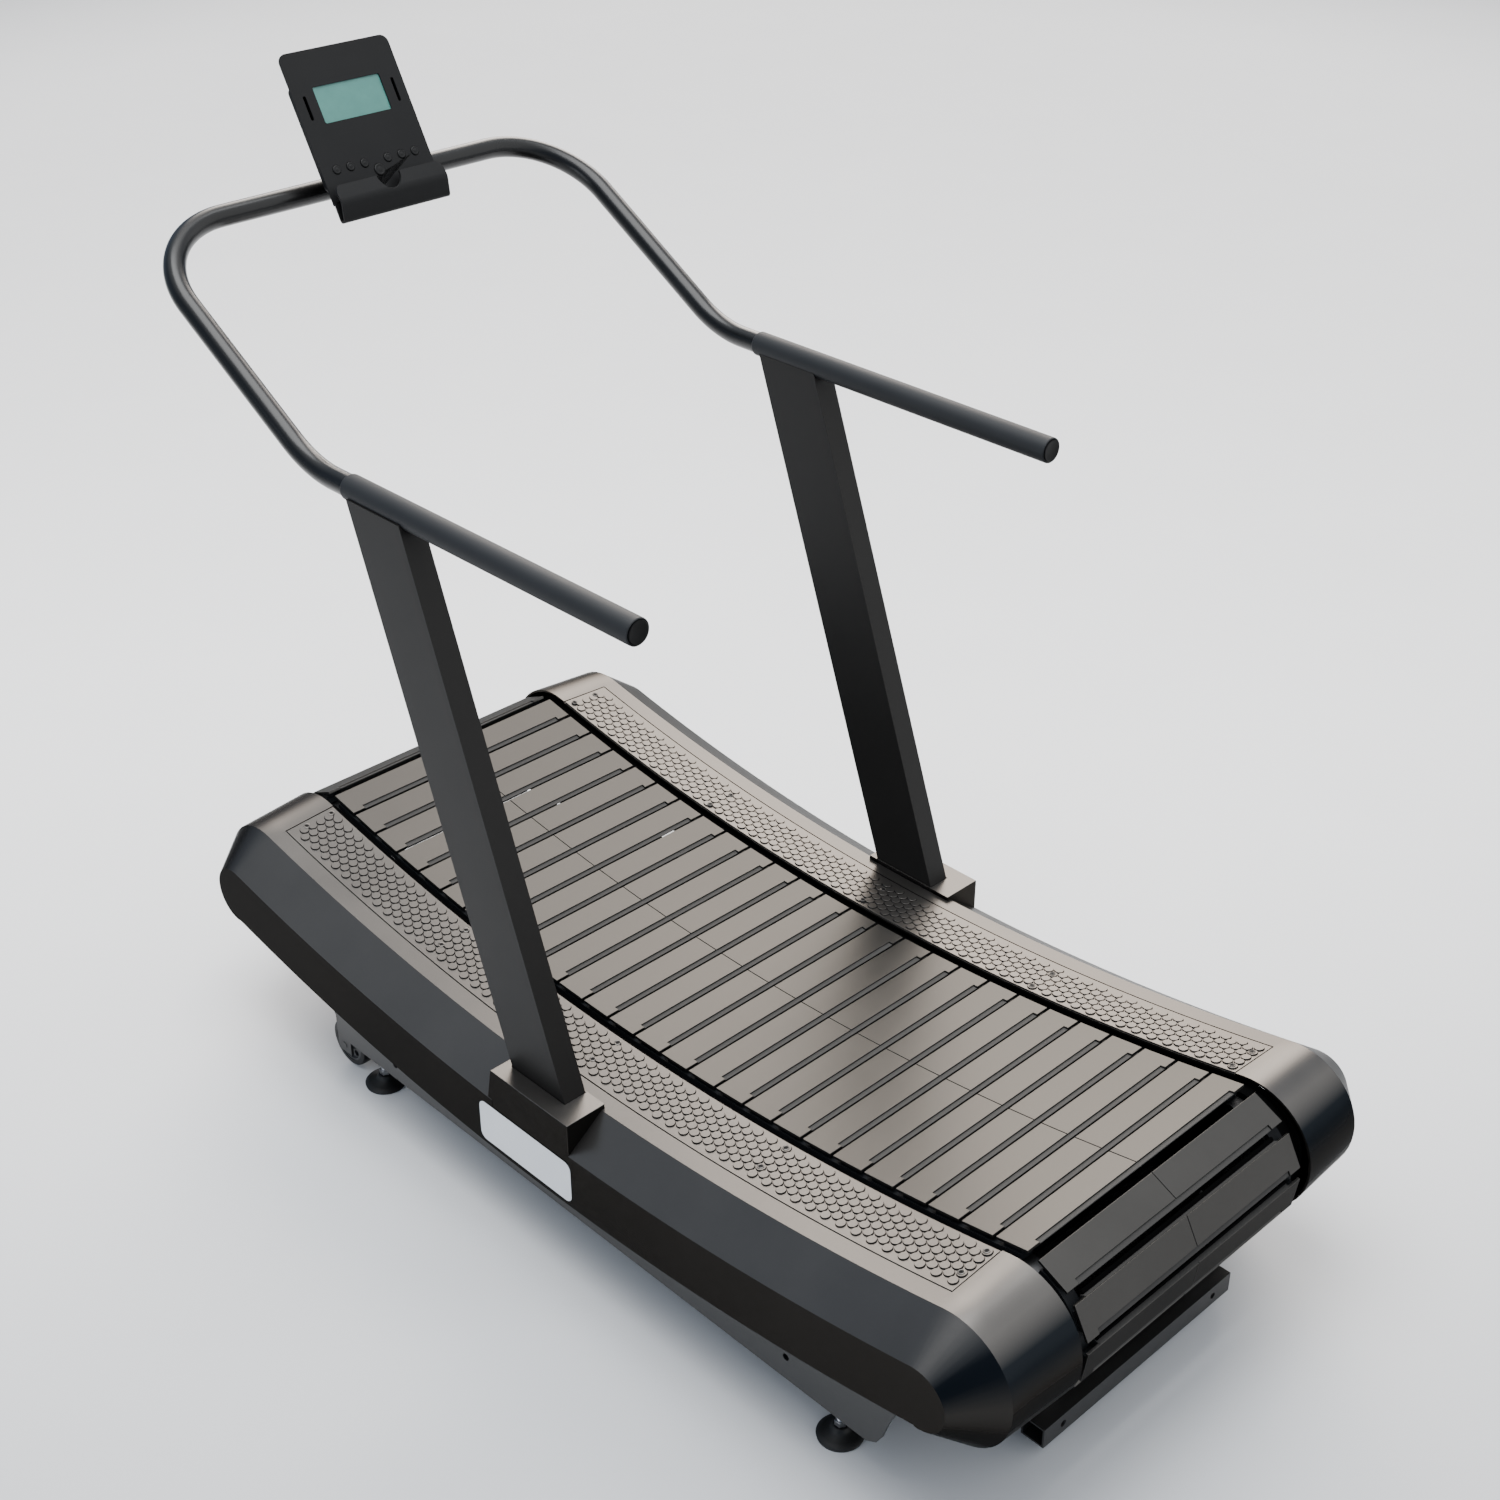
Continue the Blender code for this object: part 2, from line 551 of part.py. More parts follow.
def labels():
    r, y0, y1, z0, z1 = 0.012, -0.0975, 0.1165, -0.1455, -0.0715
    outline = []
    for cy, cz, start in ((y1 - r, z1 - r, 0), (y0 + r, z1 - r, 90), (y0 + r, z0 + r, 180),
                          (y1 - r, z0 + r, 270)):
        for i in range(4):
            t = math.radians(start + 30 * i)
            outline.append((cy + r * math.cos(t), cz + r * math.sin(t)))
    pair("name_plate", LABEL_PALE, [prism(outline, COVER_OUT + 0.0003, COVER_OUT + 0.0012)])


# ---------------------------------------------------------------- handrail
def bent(corners, radii, steps):
    """A path through corners, each rounded by its radius."""
    path = [Vector(corners[0])]
    for i in range(1, len(corners) - 1):
        before, at, after = (Vector(c) for c in corners[i - 1:i + 2])
        a, b = (before - at).normalized(), (after - at).normalized()
        half = a.angle(b) / 2
        back = radii[i - 1] / math.tan(half)
        centre = at + (a + b).normalized() * radii[i - 1] / math.sin(half)
        start, end = at + a * back - centre, at + b * back - centre
        sweep = start.angle(end)
        for j in range(steps + 1):
            t = sweep * j / steps
            turned = (start * math.sin(sweep - t) + end * math.sin(t)) / math.sin(sweep)
            path.append(centre + turned)
    path.append(Vector(corners[-1]))
    return path


def swept(path, radius, sides):
    """A round bar along a path, its rings kept from twisting."""
    loops = []
    normal = None
    for i, point in enumerate(path):
        before = path[max(i - 1, 0)]
        after = path[min(i + 1, len(path) - 1)]
        along = (after - before).normalized()
        if 0 < i < len(path) - 1:
            first, second = (point - before).normalized(), (after - point).normalized()
            along = (first + second).normalized()
        if normal is None:
            normal = along.cross(Vector((0.3, 0.1, 1.0))).normalized()
        normal = (normal - along * normal.dot(along)).normalized()
        side = along.cross(normal)
        turn = [2 * math.pi * k / sides for k in range(sides)]
        loops.append([point + (normal * math.cos(t) + side * math.sin(t)) * radius for t in turn])
    return ruled(loops)


def handrail():
    knee = GRIP_FRONT + 0.092
    corners = [(-GRIP_X, GRIP_REAR + 0.002, GRIP_Z), (-GRIP_X, knee, GRIP_Z),
               (-GRIP_X, NOSE_Y, NOSE_Z), (GRIP_X, NOSE_Y, NOSE_Z), (GRIP_X, knee, GRIP_Z),
               (GRIP_X, GRIP_REAR + 0.002, GRIP_Z)]
    path = bent(corners, [0.200, 0.145, 0.145, 0.200], 6)
    inside = [p.copy() for p in path]
    inside[0].y -= 0.010
    inside[-1].y -= 0.010
    node("handrail", TUBE_BLACK, [swept(path, TUBE_R, 14)], [swept(inside, TUBE_BORE, 8)],
         smooth=True)


def grips():
    y0, y1 = GRIP_REAR, GRIP_FRONT
    outer = rod((GRIP_X, y0, GRIP_Z), (GRIP_X, y1, GRIP_Z), SLEEVE_R, 20)
    inner = rod((GRIP_X, y0 - 0.01, GRIP_Z), (GRIP_X, y1 + 0.01, GRIP_Z), TUBE_R + 0.0006, 20)
    slot = box(GRIP_X - 0.0060, GRIP_X + 0.0060, 0.2430, 0.3570, GRIP_Z - 0.03, GRIP_Z - 0.010)
    pair("grip", GRIP_RUBBER, [outer], [inner, slot], smooth=True)
    cap = [(0.0, 0.0165), (0.0020, 0.0190), (0.0048, 0.0190), (0.0049, 0.0120), (0.0300, 0.0118)]
    pair("grip_cap", CAP_BLACK, [lathe(cap, (GRIP_X, y0 - 0.0052, GRIP_Z), (0, 1, 0), 16)],
         smooth=True)


# ---------------------------------------------------------------- console
def on_panel(x, up, out=0.0):
    """A point on the console's face: x across, `up` along the slope from the keys, `out` to the user."""
    return (x, KEYS_Y + up * math.sin(TILT) - out * math.cos(TILT),
            KEYS_Z + up * math.cos(TILT) + out * math.sin(TILT))


def panel_slab(outline, out0, out1):
    return ruled([[on_panel(x, v, out) for x, v in outline] for out in (out0, out1)])


def rounded(x0, x1, v0, v1, r, steps=4):
    points = []
    for cx, cv, start in ((x1 - r, v1 - r, 0), (x0 + r, v1 - r, 90), (x0 + r, v0 + r, 180),
                          (x1 - r, v0 + r, 270)):
        for i in range(steps + 1):
            t = math.radians(start + 90 * i / steps)
            points.append((cx + r * math.cos(t), cv + r * math.sin(t)))
    return points


def disc(x, v, r, sides=16):
    return [(x + r * math.cos(2 * math.pi * i / sides), v + r * math.sin(2 * math.pi * i / sides))
            for i in range(sides)]


KEYS = [(-0.0745, 0.0), (-0.0487, 0.0), (-0.0222, 0.0), (0.0222, 0.0), (0.0487, 0.0), (0.0745, 0.0)]
BIG_KEY = (0.0, -0.0150)


def console():
    w = PANEL_HALF
    r = 0.0140
    face = [(w, PANEL_LOW), (w, PANEL_TOP - r)]
    face += [(w - r + r * math.cos(math.radians(a)), PANEL_TOP - r + r * math.sin(math.radians(a)))
             for a in (22.5, 45, 67.5, 90)]
    face += [(-x, v) for x, v in face[::-1]]
    parts = [panel_slab(face, -PANEL_THICK, 0.0)]
    # the face's lower edge turns under, up and back as a ledge for a phone
    lowest = on_panel(0, PANEL_LOW + 0.006)
    ledge = [(lowest[1], lowest[2]), (0.7975, 1.0640), (0.7905, 1.0580), (0.7830, 1.0600),
             (0.7800, 1.0680), (0.7835, 1.0920), (0.8010, 1.1126)]
    out, back = [], []
    for i, (y, z) in enumerate(ledge):
        ahead = ledge[min(i + 1, len(ledge) - 1)]
        behind = ledge[max(i - 1, 0)]
        dy, dz = ahead[0] - behind[0], ahead[1] - behind[1]
        n = math.hypot(dy, dz)
        out.append((y, z))
        back.append((y + PANEL_THICK * dz / n, z - PANEL_THICK * dy / n))
    parts.append(prism(out + back[::-1], -w + 0.0004, w - 0.0004))
    cuts = [panel_slab(rounded(-0.0640, 0.0640, 0.0700, 0.1300, 0.0030, 2), -0.01, 0.01)]
    for x, v in KEYS:
        cuts.append(panel_slab(disc(x, v, 0.0078, 12), -0.01, 0.01))
    cuts.append(panel_slab(disc(*BIG_KEY, 0.0103, 16), -0.01, 0.01))
    for side in (-1, 1):
        for k in (0, 1):
            x = side * (0.0800 + 0.0070 * k)
            cuts.append(panel_slab(rounded(x - 0.0017, x + 0.0017, 0.0810, 0.1170, 0.0016, 2),
                                   -0.01, 0.01))
    notch = [(0.0225 * math.cos(math.radians(a)), 1.1126 - 0.0215 * math.sin(math.radians(a)))
             for a in range(0, 181, 20)]
    notch += [(-0.0225, 1.1400), (0.0225, 1.1400)]
    cuts.append(ruled([[(x, y, z) for x, z in notch] for y in (0.7700, 0.8075)]))
    node("console_face", PANEL_BLACK, parts, cuts)
    # housing behind the face
    shell = panel_slab(rounded(-0.0930, 0.0930, -0.0280, 0.1400, 0.0100, 2), -0.0240, -0.0034)
    room = panel_slab(rounded(-0.0905, 0.0905, -0.0255, 0.1375, 0.0080, 2), -0.0215, 0.0100)
    node("console_housing", PANEL_BLACK, [shell], [room])
    node("console_screen", LCD_TEAL,
         [panel_slab(rounded(-0.0635, 0.0635, 0.0705, 0.1295, 0.0028, 2), -0.0180, -0.0008)])
    away = on_panel(0, 0, 1.0)
    here = on_panel(0, 0, 0.0)
    normal = Vector(away) - Vector(here)
    for i, (x, v) in enumerate(KEYS):
        centre = on_panel(x, v, -0.0180)
        shape = [(0.0, 0.0066), (0.0192, 0.0071), (0.0204, 0.0052)]
        node("key_%d" % (i + 1), CAP_BLACK, [lathe(shape, centre, normal, 12)],
             axis=on_panel(x, v), smooth=True)
    shape = [(0.0, 0.0090), (0.0192, 0.0096), (0.0204, 0.0074)]
    node("key_centre", CAP_BLACK, [lathe(shape, on_panel(*BIG_KEY, -0.0180), normal, 16)],
         axis=on_panel(*BIG_KEY), smooth=True)
    # bracket from the housing to the handrail's nose, a saddle half round the tube
    arm = [on_panel(0, -0.020, -0.0244)[1:], on_panel(0, 0.030, -0.0244)[1:],
           (NOSE_Y + 0.004, NOSE_Z + 0.0215), (NOSE_Y + 0.0215, NOSE_Z + 0.004),
           (NOSE_Y + 0.0215, NOSE_Z - 0.010),
           (NOSE_Y + 0.004, NOSE_Z - 0.0215), (NOSE_Y - 0.016, NOSE_Z - 0.0180)]
    tube = rod((-0.2, NOSE_Y, NOSE_Z), (0.2, NOSE_Y, NOSE_Z), TUBE_R + 0.0004, 24)
    node("console_bracket", FRAME_BLACK, [prism(arm, -0.0450, 0.0450)], [tube])


# ---------------------------------------------------------------- build
straight_group("belt_top", -13, 12, 26, (-TOP_HALF, TOP_HALF), (0, 0, DECK_R))
wrap_group("belt_rear_wrap", 13, 17, (0, -ROLLER_Y, ROLLER_Z))
straight_group("belt_return", 18, 42, 1, None, (0, 0, ROLLER_Z - ROLLER_PITCH_R))
wrap_group("belt_front_wrap", -18, -14, (0, ROLLER_Y, ROLLER_Z))
rollers()
bearings()
curved_rails()
frame_plates()
base_rails()
cross_tubes()
rear_bar()
feet()
wheels()
side_covers()
step_pads()
upright_shoes()
uprights()
labels()
handrail()
grips()
console()
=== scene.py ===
"""Looks of the curved manual treadmill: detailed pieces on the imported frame, materials, light."""
import math

import bmesh
import bpy
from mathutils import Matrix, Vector


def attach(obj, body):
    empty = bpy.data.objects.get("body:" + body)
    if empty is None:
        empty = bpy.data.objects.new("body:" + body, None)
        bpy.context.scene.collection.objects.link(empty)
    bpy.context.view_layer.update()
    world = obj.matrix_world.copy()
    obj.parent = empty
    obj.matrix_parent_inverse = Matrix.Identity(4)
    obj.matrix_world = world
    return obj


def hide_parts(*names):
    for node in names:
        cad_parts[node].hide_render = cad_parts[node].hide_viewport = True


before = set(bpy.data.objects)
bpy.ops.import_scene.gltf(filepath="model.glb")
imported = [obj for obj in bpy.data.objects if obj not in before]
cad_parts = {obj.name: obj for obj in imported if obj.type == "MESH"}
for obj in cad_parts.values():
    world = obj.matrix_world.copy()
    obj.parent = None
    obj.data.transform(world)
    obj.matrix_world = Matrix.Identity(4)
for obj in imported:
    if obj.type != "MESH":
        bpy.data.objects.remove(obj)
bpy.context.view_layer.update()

# ---------------------------------------------------------------- sizes, as in the frame
FLOOR = 0.295
DECK_R, TOP_PITCH_R = 3.620, 3.6385
ROLLER_Y, ROLLER_Z, ROLLER_PITCH_R = 0.769, -0.0337, 0.0955
SURFACE_UP = TOP_PITCH_R - DECK_R
TILT = math.radians(29.6)
KEYS_Y, KEYS_Z = 0.8300, 1.1270
PANEL_TOP, PANEL_LOW = 0.1863, -0.0560
PANEL_HALF, PANEL_THICK = 0.1020, 0.003
REAR_REACH = 0.890       # from the deck's middle back to the rear end of the covers
MID_Y = (KEYS_Y + PANEL_TOP * math.sin(TILT) + PANEL_THICK * math.cos(TILT) - REAR_REACH) / 2
PITCH_TURN = math.asin(ROLLER_Y / (TOP_PITCH_R + ROLLER_PITCH_R))
TOP_HALF = PITCH_TURN * TOP_PITCH_R
WRAP_LONG = (math.pi + PITCH_TURN) * ROLLER_PITCH_R
BELT_LONG = 2 * TOP_HALF + 2 * WRAP_LONG + 2 * ROLLER_Y
SLATS = 61
PITCH = BELT_LONG / SLATS
SLAT_HALF, SLAT_WIDE = 0.2407, 0.0532
PAST = 0.0158            # how far a group's bands go past its end slats' middles
STRAP_IN, STRAP_OUT = 0.2172, 0.2395
STRAP_TOP, STRAP_LOW = -0.0122, -0.0212
COVER_IN, COVER_EDGE, COVER_OUT = 0.2588, 0.3863, 0.4532
EDGE_DROP = 0.0085       # the covers' tops fall by this much out to their upper edge
TOP_FALL = EDGE_DROP / (COVER_EDGE - COVER_IN)
# each end of a cover: its centre lengthwise and in height, its radius above and its depth below
DRUM, EDGE_END = (0.782, -0.0250, 0.1080, 0.1080), (0.780, -0.0270, 0.1010, 0.1130)
BAND_END = (0.776, -0.0263, 0.0500, 0.0500)
BAND_TOP_R = 3.6775
COVER_THICK = 0.0036
PAD_REAR, PAD_FRONT, PAD_SEAM = -0.7475, 0.7525, 0.3570
PAD_SINK = 0.0022
GRIP_X, GRIP_Z, GRIP_REAR, GRIP_FRONT = 0.4005, 0.8420, -0.2200, 0.3810
NOSE_Y, NOSE_Z = 0.8818, 1.0827
UP_IN, UP_OUT, UP_LEAN, UP_WIDE, UP_TOP = 0.3822, 0.4220, 0.3520, 0.1230, 0.8222
UP_MID_Y = 0.0085        # the upright's middle at the deck's height
PAD_Z = -0.1150          # flat top of the base rails where the uprights stand
RAIL_LOW = -0.2245
FOOT_X, FOOT_YS = 0.385, (("front", 0.479), ("rear", -0.587))
WHEEL_X, WHEEL_Y, WHEEL_Z, WHEEL_R = 0.3880, 0.5590, -0.2475, 0.0435
SHIFT = Vector((0, -MID_Y, FLOOR))
BASE = "base_frame"


# ---------------------------------------------------------------- materials
def rgb(*values):
    """Display colour of 0-255 as linear light."""
    return tuple((v / 255 / 12.92) if v <= 10 else ((v / 255 + 0.055) / 1.055) ** 2.4
                 for v in values)


def finish(name, dark, pale, rough, metal=0.0, grain=900.0, bump=0.0, spread=0.06, patch=6.0,
           coat=0.0, ior=1.5, brushed=None, sides=None):
    """A surface whose colour and roughness wander a little, with a fine grain.

    With sides given, painted shade follows the face's slope: upright faces are multiplied by the first
    colour and sloping faces by the second, a painted bluish reflection, so both are darker than level ones.
    """
    made = bpy.data.materials.new(name)
    made.use_nodes = True
    nodes, links = made.node_tree.nodes, made.node_tree.links
    shader = nodes["Principled BSDF"]
    coords = nodes.new("ShaderNodeTexCoord")
    place = nodes.new("ShaderNodeMapping")
    if brushed:
        place.inputs["Scale"].default_value = brushed
    links.new(coords.outputs["Object"], place.inputs["Vector"])
    fine = nodes.new("ShaderNodeTexNoise")
    fine.inputs["Scale"].default_value = grain
    fine.inputs["Detail"].default_value = 3.0
    wide = nodes.new("ShaderNodeTexNoise")
    wide.inputs["Scale"].default_value = patch
    wide.inputs["Detail"].default_value = 5.0
    wide.inputs["Roughness"].default_value = 0.6
    for noise in (fine, wide):
        links.new(place.outputs["Vector"], noise.inputs["Vector"])
    both = nodes.new("ShaderNodeMix")
    both.inputs["Factor"].default_value = 0.5
    links.new(fine.outputs["Fac"], both.inputs["A"])
    links.new(wide.outputs["Fac"], both.inputs["B"])
    ramp = nodes.new("ShaderNodeValToRGB")
    ramp.color_ramp.elements[0].position = 0.30
    ramp.color_ramp.elements[0].color = (*dark, 1)
    ramp.color_ramp.elements[1].position = 0.70
    ramp.color_ramp.elements[1].color = (*pale, 1)
    links.new(both.outputs["Result"], ramp.inputs["Fac"])
    links.new(ramp.outputs["Color"], shader.inputs["Base Color"])
    # painted shade: faces are darkened by how far their normal leans from straight up, and sloping faces
    # also get a painted bluish reflection
    if sides:
        shape = nodes.new("ShaderNodeNewGeometry")
        split = nodes.new("ShaderNodeSeparateXYZ")
        links.new(shape.outputs["Normal"], split.inputs["Vector"])
        level = nodes.new("ShaderNodeValToRGB")
        painted_shade_stops = level.color_ramp.elements
        painted_shade_stops[0].position, painted_shade_stops[0].color = 0.10, (*sides[0], 1)
        painted_shade_stops[1].position, painted_shade_stops[1].color = 0.88, (1, 1, 1, 1)
        painted_shade_stops.new(0.45).color = (*sides[1], 1)
        painted_shade_stops.new(0.62).color = (*sides[1], 1)
        links.new(split.outputs["Z"], level.inputs["Fac"])
        shade = nodes.new("ShaderNodeMix")
        shade.data_type = "RGBA"
        shade.blend_type = "MULTIPLY"
        shade.inputs["Factor"].default_value = 1.0
        links.new(level.outputs["Color"], shade.inputs["B"])
        links.new(ramp.outputs["Color"], shade.inputs["A"])
        links.new(shade.outputs["Result"], shader.inputs["Base Color"])
    dull = nodes.new("ShaderNodeMapRange")
    dull.inputs["To Min"].default_value = max(rough - spread, 0.03)
    dull.inputs["To Max"].default_value = min(rough + spread, 1.0)
    links.new(wide.outputs["Fac"], dull.inputs["Value"])
    links.new(dull.outputs["Result"], shader.inputs["Roughness"])
    if bump:
        relief = nodes.new("ShaderNodeBump")
        relief.inputs["Strength"].default_value = 0.35
        relief.inputs["Distance"].default_value = bump
        links.new(fine.outputs["Fac"], relief.inputs["Height"])
        links.new(relief.outputs["Normal"], shader.inputs["Normal"])
    shader.inputs["Metallic"].default_value = metal
    shader.inputs["Specular Tint"].default_value = (*[1.0 - 0.88 * metal] * 3, 1)
    shader.inputs["Coat Weight"].default_value = coat
    shader.inputs["Coat Roughness"].default_value = 0.2
    shader.inputs["IOR"].default_value = ior
    return made


# painted shade: the sides colours darken the upright faces of the covers and shoes, and paint a bluish-dark
# reflection on their sloping faces
COVER = finish("cover_satin", (0.092, 0.087, 0.082), (0.110, 0.104, 0.098), 0.30, 0.90, 1500, 0.00004,
               spread=0.04, sides=((0.32, 0.312, 0.300), (0.105, 0.135, 0.175)))
PAD = finish("pad_satin", (0.098, 0.092, 0.086), (0.116, 0.109, 0.102), 0.30, 0.90, 1500, 0.00003)
SLAT = finish("slat_satin", (0.054, 0.052, 0.049), (0.067, 0.064, 0.060), 0.36, 0.88, 1800, 0.00005)
LEDGE = finish("slat_body", (0.030, 0.029, 0.028), (0.040, 0.039, 0.037), 0.65, 0.0, 1500, 0.00006,
               ior=1.2)
BAND = finish("belt_band", (0.004, 0.005, 0.006), (0.008, 0.009, 0.011), 0.70, 0.0, 700, 0.00010,
              ior=1.3)
# painted shade: a near-black, nearly unreflecting finish for pieces that stand where there is only shade
SHADE_BLACK = finish("painted_shade_black", (0.0015, 0.0015, 0.0015), (0.003, 0.003, 0.003), 0.9, 0.0, 900, ior=1.05)
FRAME = finish("frame_coat", (0.009, 0.0086, 0.008), (0.014, 0.0134, 0.0125), 0.42, 0.0, 1600, 0.00012)
POST = finish("upright_coat", (0.008, 0.0074, 0.0068), (0.0125, 0.0116, 0.0107), 0.46, 0.0, 1400,
              0.00014, ior=1.24)
TUBE = finish("tube_coat", (0.002, 0.002, 0.002), (0.004, 0.004, 0.004), 0.26, 0.0, 1500, 0.00005,
              ior=1.38)
GRIP = finish("grip_foam", (0.007, 0.008, 0.009), (0.011, 0.012, 0.014), 0.62, 0.0, 1300, 0.00018,
              ior=1.34)
CAP = finish("cap_plastic", (0.002, 0.002, 0.002), (0.004, 0.004, 0.004), 0.50, 0.0, 1200, 0.00005,
             ior=1.2)
PANEL = finish("panel_plastic", (0.0035, 0.0035, 0.0037), (0.0065, 0.0065, 0.0067), 0.50, 0.0, 2200, 0.00008,
               ior=1.24)
KEY = finish("key_rubber", (0.004, 0.004, 0.004), (0.008, 0.008, 0.008), 0.50, 0.0, 1500, 0.00004,
             ior=1.25)
LABEL = finish("label_film", (0.62, 0.64, 0.66), (0.72, 0.73, 0.74), 0.40, 0.0, 800, 0.00003)
STEEL = finish("dark_steel", (0.030, 0.030, 0.031), (0.050, 0.050, 0.051), 0.48, 1.0, 500, 0.00003,
               brushed=(0.2, 1.0, 1.0))
PLATED = finish("plated_steel", (0.30, 0.30, 0.31), (0.42, 0.42, 0.43), 0.34, 1.0, 500, 0.00003)
RUBBER = finish("black_rubber", (0.003, 0.003, 0.003), (0.007, 0.007, 0.007), 0.50, 0.0, 900, 0.00010,
                ior=1.35)
HUB = finish("hub_grey", (0.020, 0.020, 0.021), (0.034, 0.034, 0.035), 0.45, 0.0, 900, 0.00006)
SCREW = finish("screw_black", (0.002, 0.002, 0.002), (0.005, 0.005, 0.005), 0.55, 0.0, 900, 0.00003,
               ior=1.2)
LCD = finish("lcd_film", rgb(50, 100, 93), rgb(60, 111, 103), 0.30, 0.0, 60, 0.0, patch=9.0)


# ---------------------------------------------------------------- mesh helpers
def ruled(loops):
    """A body skinned over loops of equally many points, closed by its first and last loop."""
    count = len(loops[0])
    verts = [Vector(p) for loop in loops for p in loop]
    faces = [list(range(count))[::-1]]
    for i in range(len(loops) - 1):
        for j in range(count):
            k = (j + 1) % count
            faces.append([i * count + j, i * count + k, (i + 1) * count + k, (i + 1) * count + j])
    faces.append([(len(loops) - 1) * count + j for j in range(count)])
    return verts, faces


def prism(outline, x0, x1):
    return ruled([[(x, y, z) for y, z in outline] for x in (x0, x1)])


def block(x0, x1, y0, y1, z0, z1):
    return prism([(y0, z0), (y1, z0), (y1, z1), (y0, z1)], x0, x1)


def lathe(profile, centre, along=(0, 0, 1), sides=48):
    """A body of revolution from (distance along the axis, radius) pairs."""
    along = Vector(along).normalized()
    helper = Vector((0, 0, 1)) if abs(along.z) < 0.9 else Vector((1, 0, 0))
    u = along.cross(helper).normalized()
    w = along.cross(u)
    centre = Vector(centre)
    turn = [2 * math.pi * i / sides for i in range(sides)]
    return ruled([[centre + along * d + (u * math.cos(t) + w * math.sin(t)) * r for t in turn]
                  for d, r in profile])


def ring(profile, centre, along=(0, 0, 1), sides=48):
    """A body of revolution whose closed profile never meets the axis, such as a tube or a tyre."""
    verts, faces = lathe(profile, centre, along, sides)
    faces = faces[1:-1]
    last = (len(profile) - 1) * sides
    for j in range(sides):
        k = (j + 1) % sides
        faces.append([last + j, last + k, k, j])
    return verts, faces


def rod(a, b, radius, sides=32):
    a, b = Vector(a), Vector(b)
    return lathe([(0, radius), ((b - a).length, radius)], a, b - a, sides)


def mirrored(part):
    return [Vector((-v[0], v[1], v[2])) for v in part[0]], [list(f)[::-1] for f in part[1]]


def gathered(parts):
    verts, faces = [], []
    for v, f in parts:
        base = len(verts)
        verts += [Vector(p) + SHIFT for p in v]
        faces += [[i + base for i in face] for face in f]
    return verts, faces


def raw(name, parts):
    mesh = bpy.data.meshes.new(name)
    verts, faces = gathered(parts)
    mesh.from_pydata(verts, [], faces)
    mesh.update()
    work = bmesh.new()
    work.from_mesh(mesh)
    bmesh.ops.recalc_face_normals(work, faces=work.faces)
    work.to_mesh(mesh)
    work.free()
    made = bpy.data.objects.new(name, mesh)
    bpy.context.scene.collection.objects.link(made)
    return made


def bake(made):
    bpy.context.view_layer.update()
    graph = bpy.context.evaluated_depsgraph_get()
    mesh = bpy.data.meshes.new_from_object(made.evaluated_get(graph))
    made.modifiers.clear()
    made.data = mesh


def cut(made, parts, operation="DIFFERENCE"):
    tool = raw("tool", parts)
    step = made.modifiers.new("cut", "BOOLEAN")
    step.operation = operation
    step.solver = "EXACT"
    step.use_self = True
    step.object = tool
    bake(made)
    bpy.data.objects.remove(tool, do_unlink=True)


def coated(made, look):
    made.data.materials.clear()
    made.data.materials.append(look)


def soften(made, width, rounds, angle, harden=True):
    """Rounds the edges that turn by more than the angle."""
    bevel = made.modifiers.new("edge", "BEVEL")
    bevel.width = width
    bevel.segments = rounds
    bevel.limit_method = "ANGLE"
    bevel.angle_limit = math.radians(angle)
    bevel.harden_normals = harden


def shaded(made, angle):
    for face in made.data.polygons:
        face.use_smooth = True
    made.data.set_sharp_from_angle(angle=math.radians(angle))


def piece(name, parts, look, body, stands_for=(), edge=0.0, cuts=(), join=(), smooth=32, rounds=2):
    """One visible piece: built in the deck's frame, then made to ride on its body."""
    made = raw(name, parts)
    if join:
        cut(made, join, "UNION")
    if cuts:
        cut(made, cuts)
    made.data.name = name
    coated(made, look)
    if edge:
        soften(made, edge, rounds, 28)
    shaded(made, 60 if edge else smooth)
    if stands_for:
        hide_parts(*stands_for)
    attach(made, body)
    return made


def both_sides(name, parts, look, body, stands_for=(), **more):
    """A piece on the right and its mirror on the left. A {} in a name takes the side."""
    extra = dict(more)
    for side in ("right", "left"):
        flip = (lambda p: p) if side == "right" else mirrored
        for key in ("cuts", "join"):
            if key in more:
                extra[key] = [flip(p) for p in more[key]]
        piece(name + "_" + side, [flip(p) for p in parts], look, body.format(side),
              [n.format(side) for n in stands_for], **extra)


# ---------------------------------------------------------------- belt
def deck(y, lower=0.0, radius=DECK_R):
    big = radius + lower
    return DECK_R - math.sqrt(big * big - y * y)


def belt_point(s):
    """Place and direction on the belt's closed path, at a distance from the deck's middle."""
    s = (s + BELT_LONG / 2) % BELT_LONG - BELT_LONG / 2
    d = abs(s)
    if d <= TOP_HALF:
        turn = d / TOP_PITCH_R
        y, z = TOP_PITCH_R * math.sin(turn), DECK_R - TOP_PITCH_R * math.cos(turn)
    elif d <= TOP_HALF + WRAP_LONG:
        turn = PITCH_TURN - (d - TOP_HALF) / ROLLER_PITCH_R
        y = ROLLER_Y - ROLLER_PITCH_R * math.sin(turn)
        z = ROLLER_Z + ROLLER_PITCH_R * math.cos(turn)
    else:
        turn = -math.pi
        y, z = ROLLER_Y - (d - TOP_HALF - WRAP_LONG), ROLLER_Z - ROLLER_PITCH_R
    if s < 0:
        return (y, z), (-math.cos(turn), -math.sin(turn))
    return (-y, z), (-math.cos(turn), math.sin(turn))


def on_belt(s, along, up):
    (y, z), (ty, tz) = belt_point(s)
    return y + ty * along + tz * up, z + tz * along - ty * up


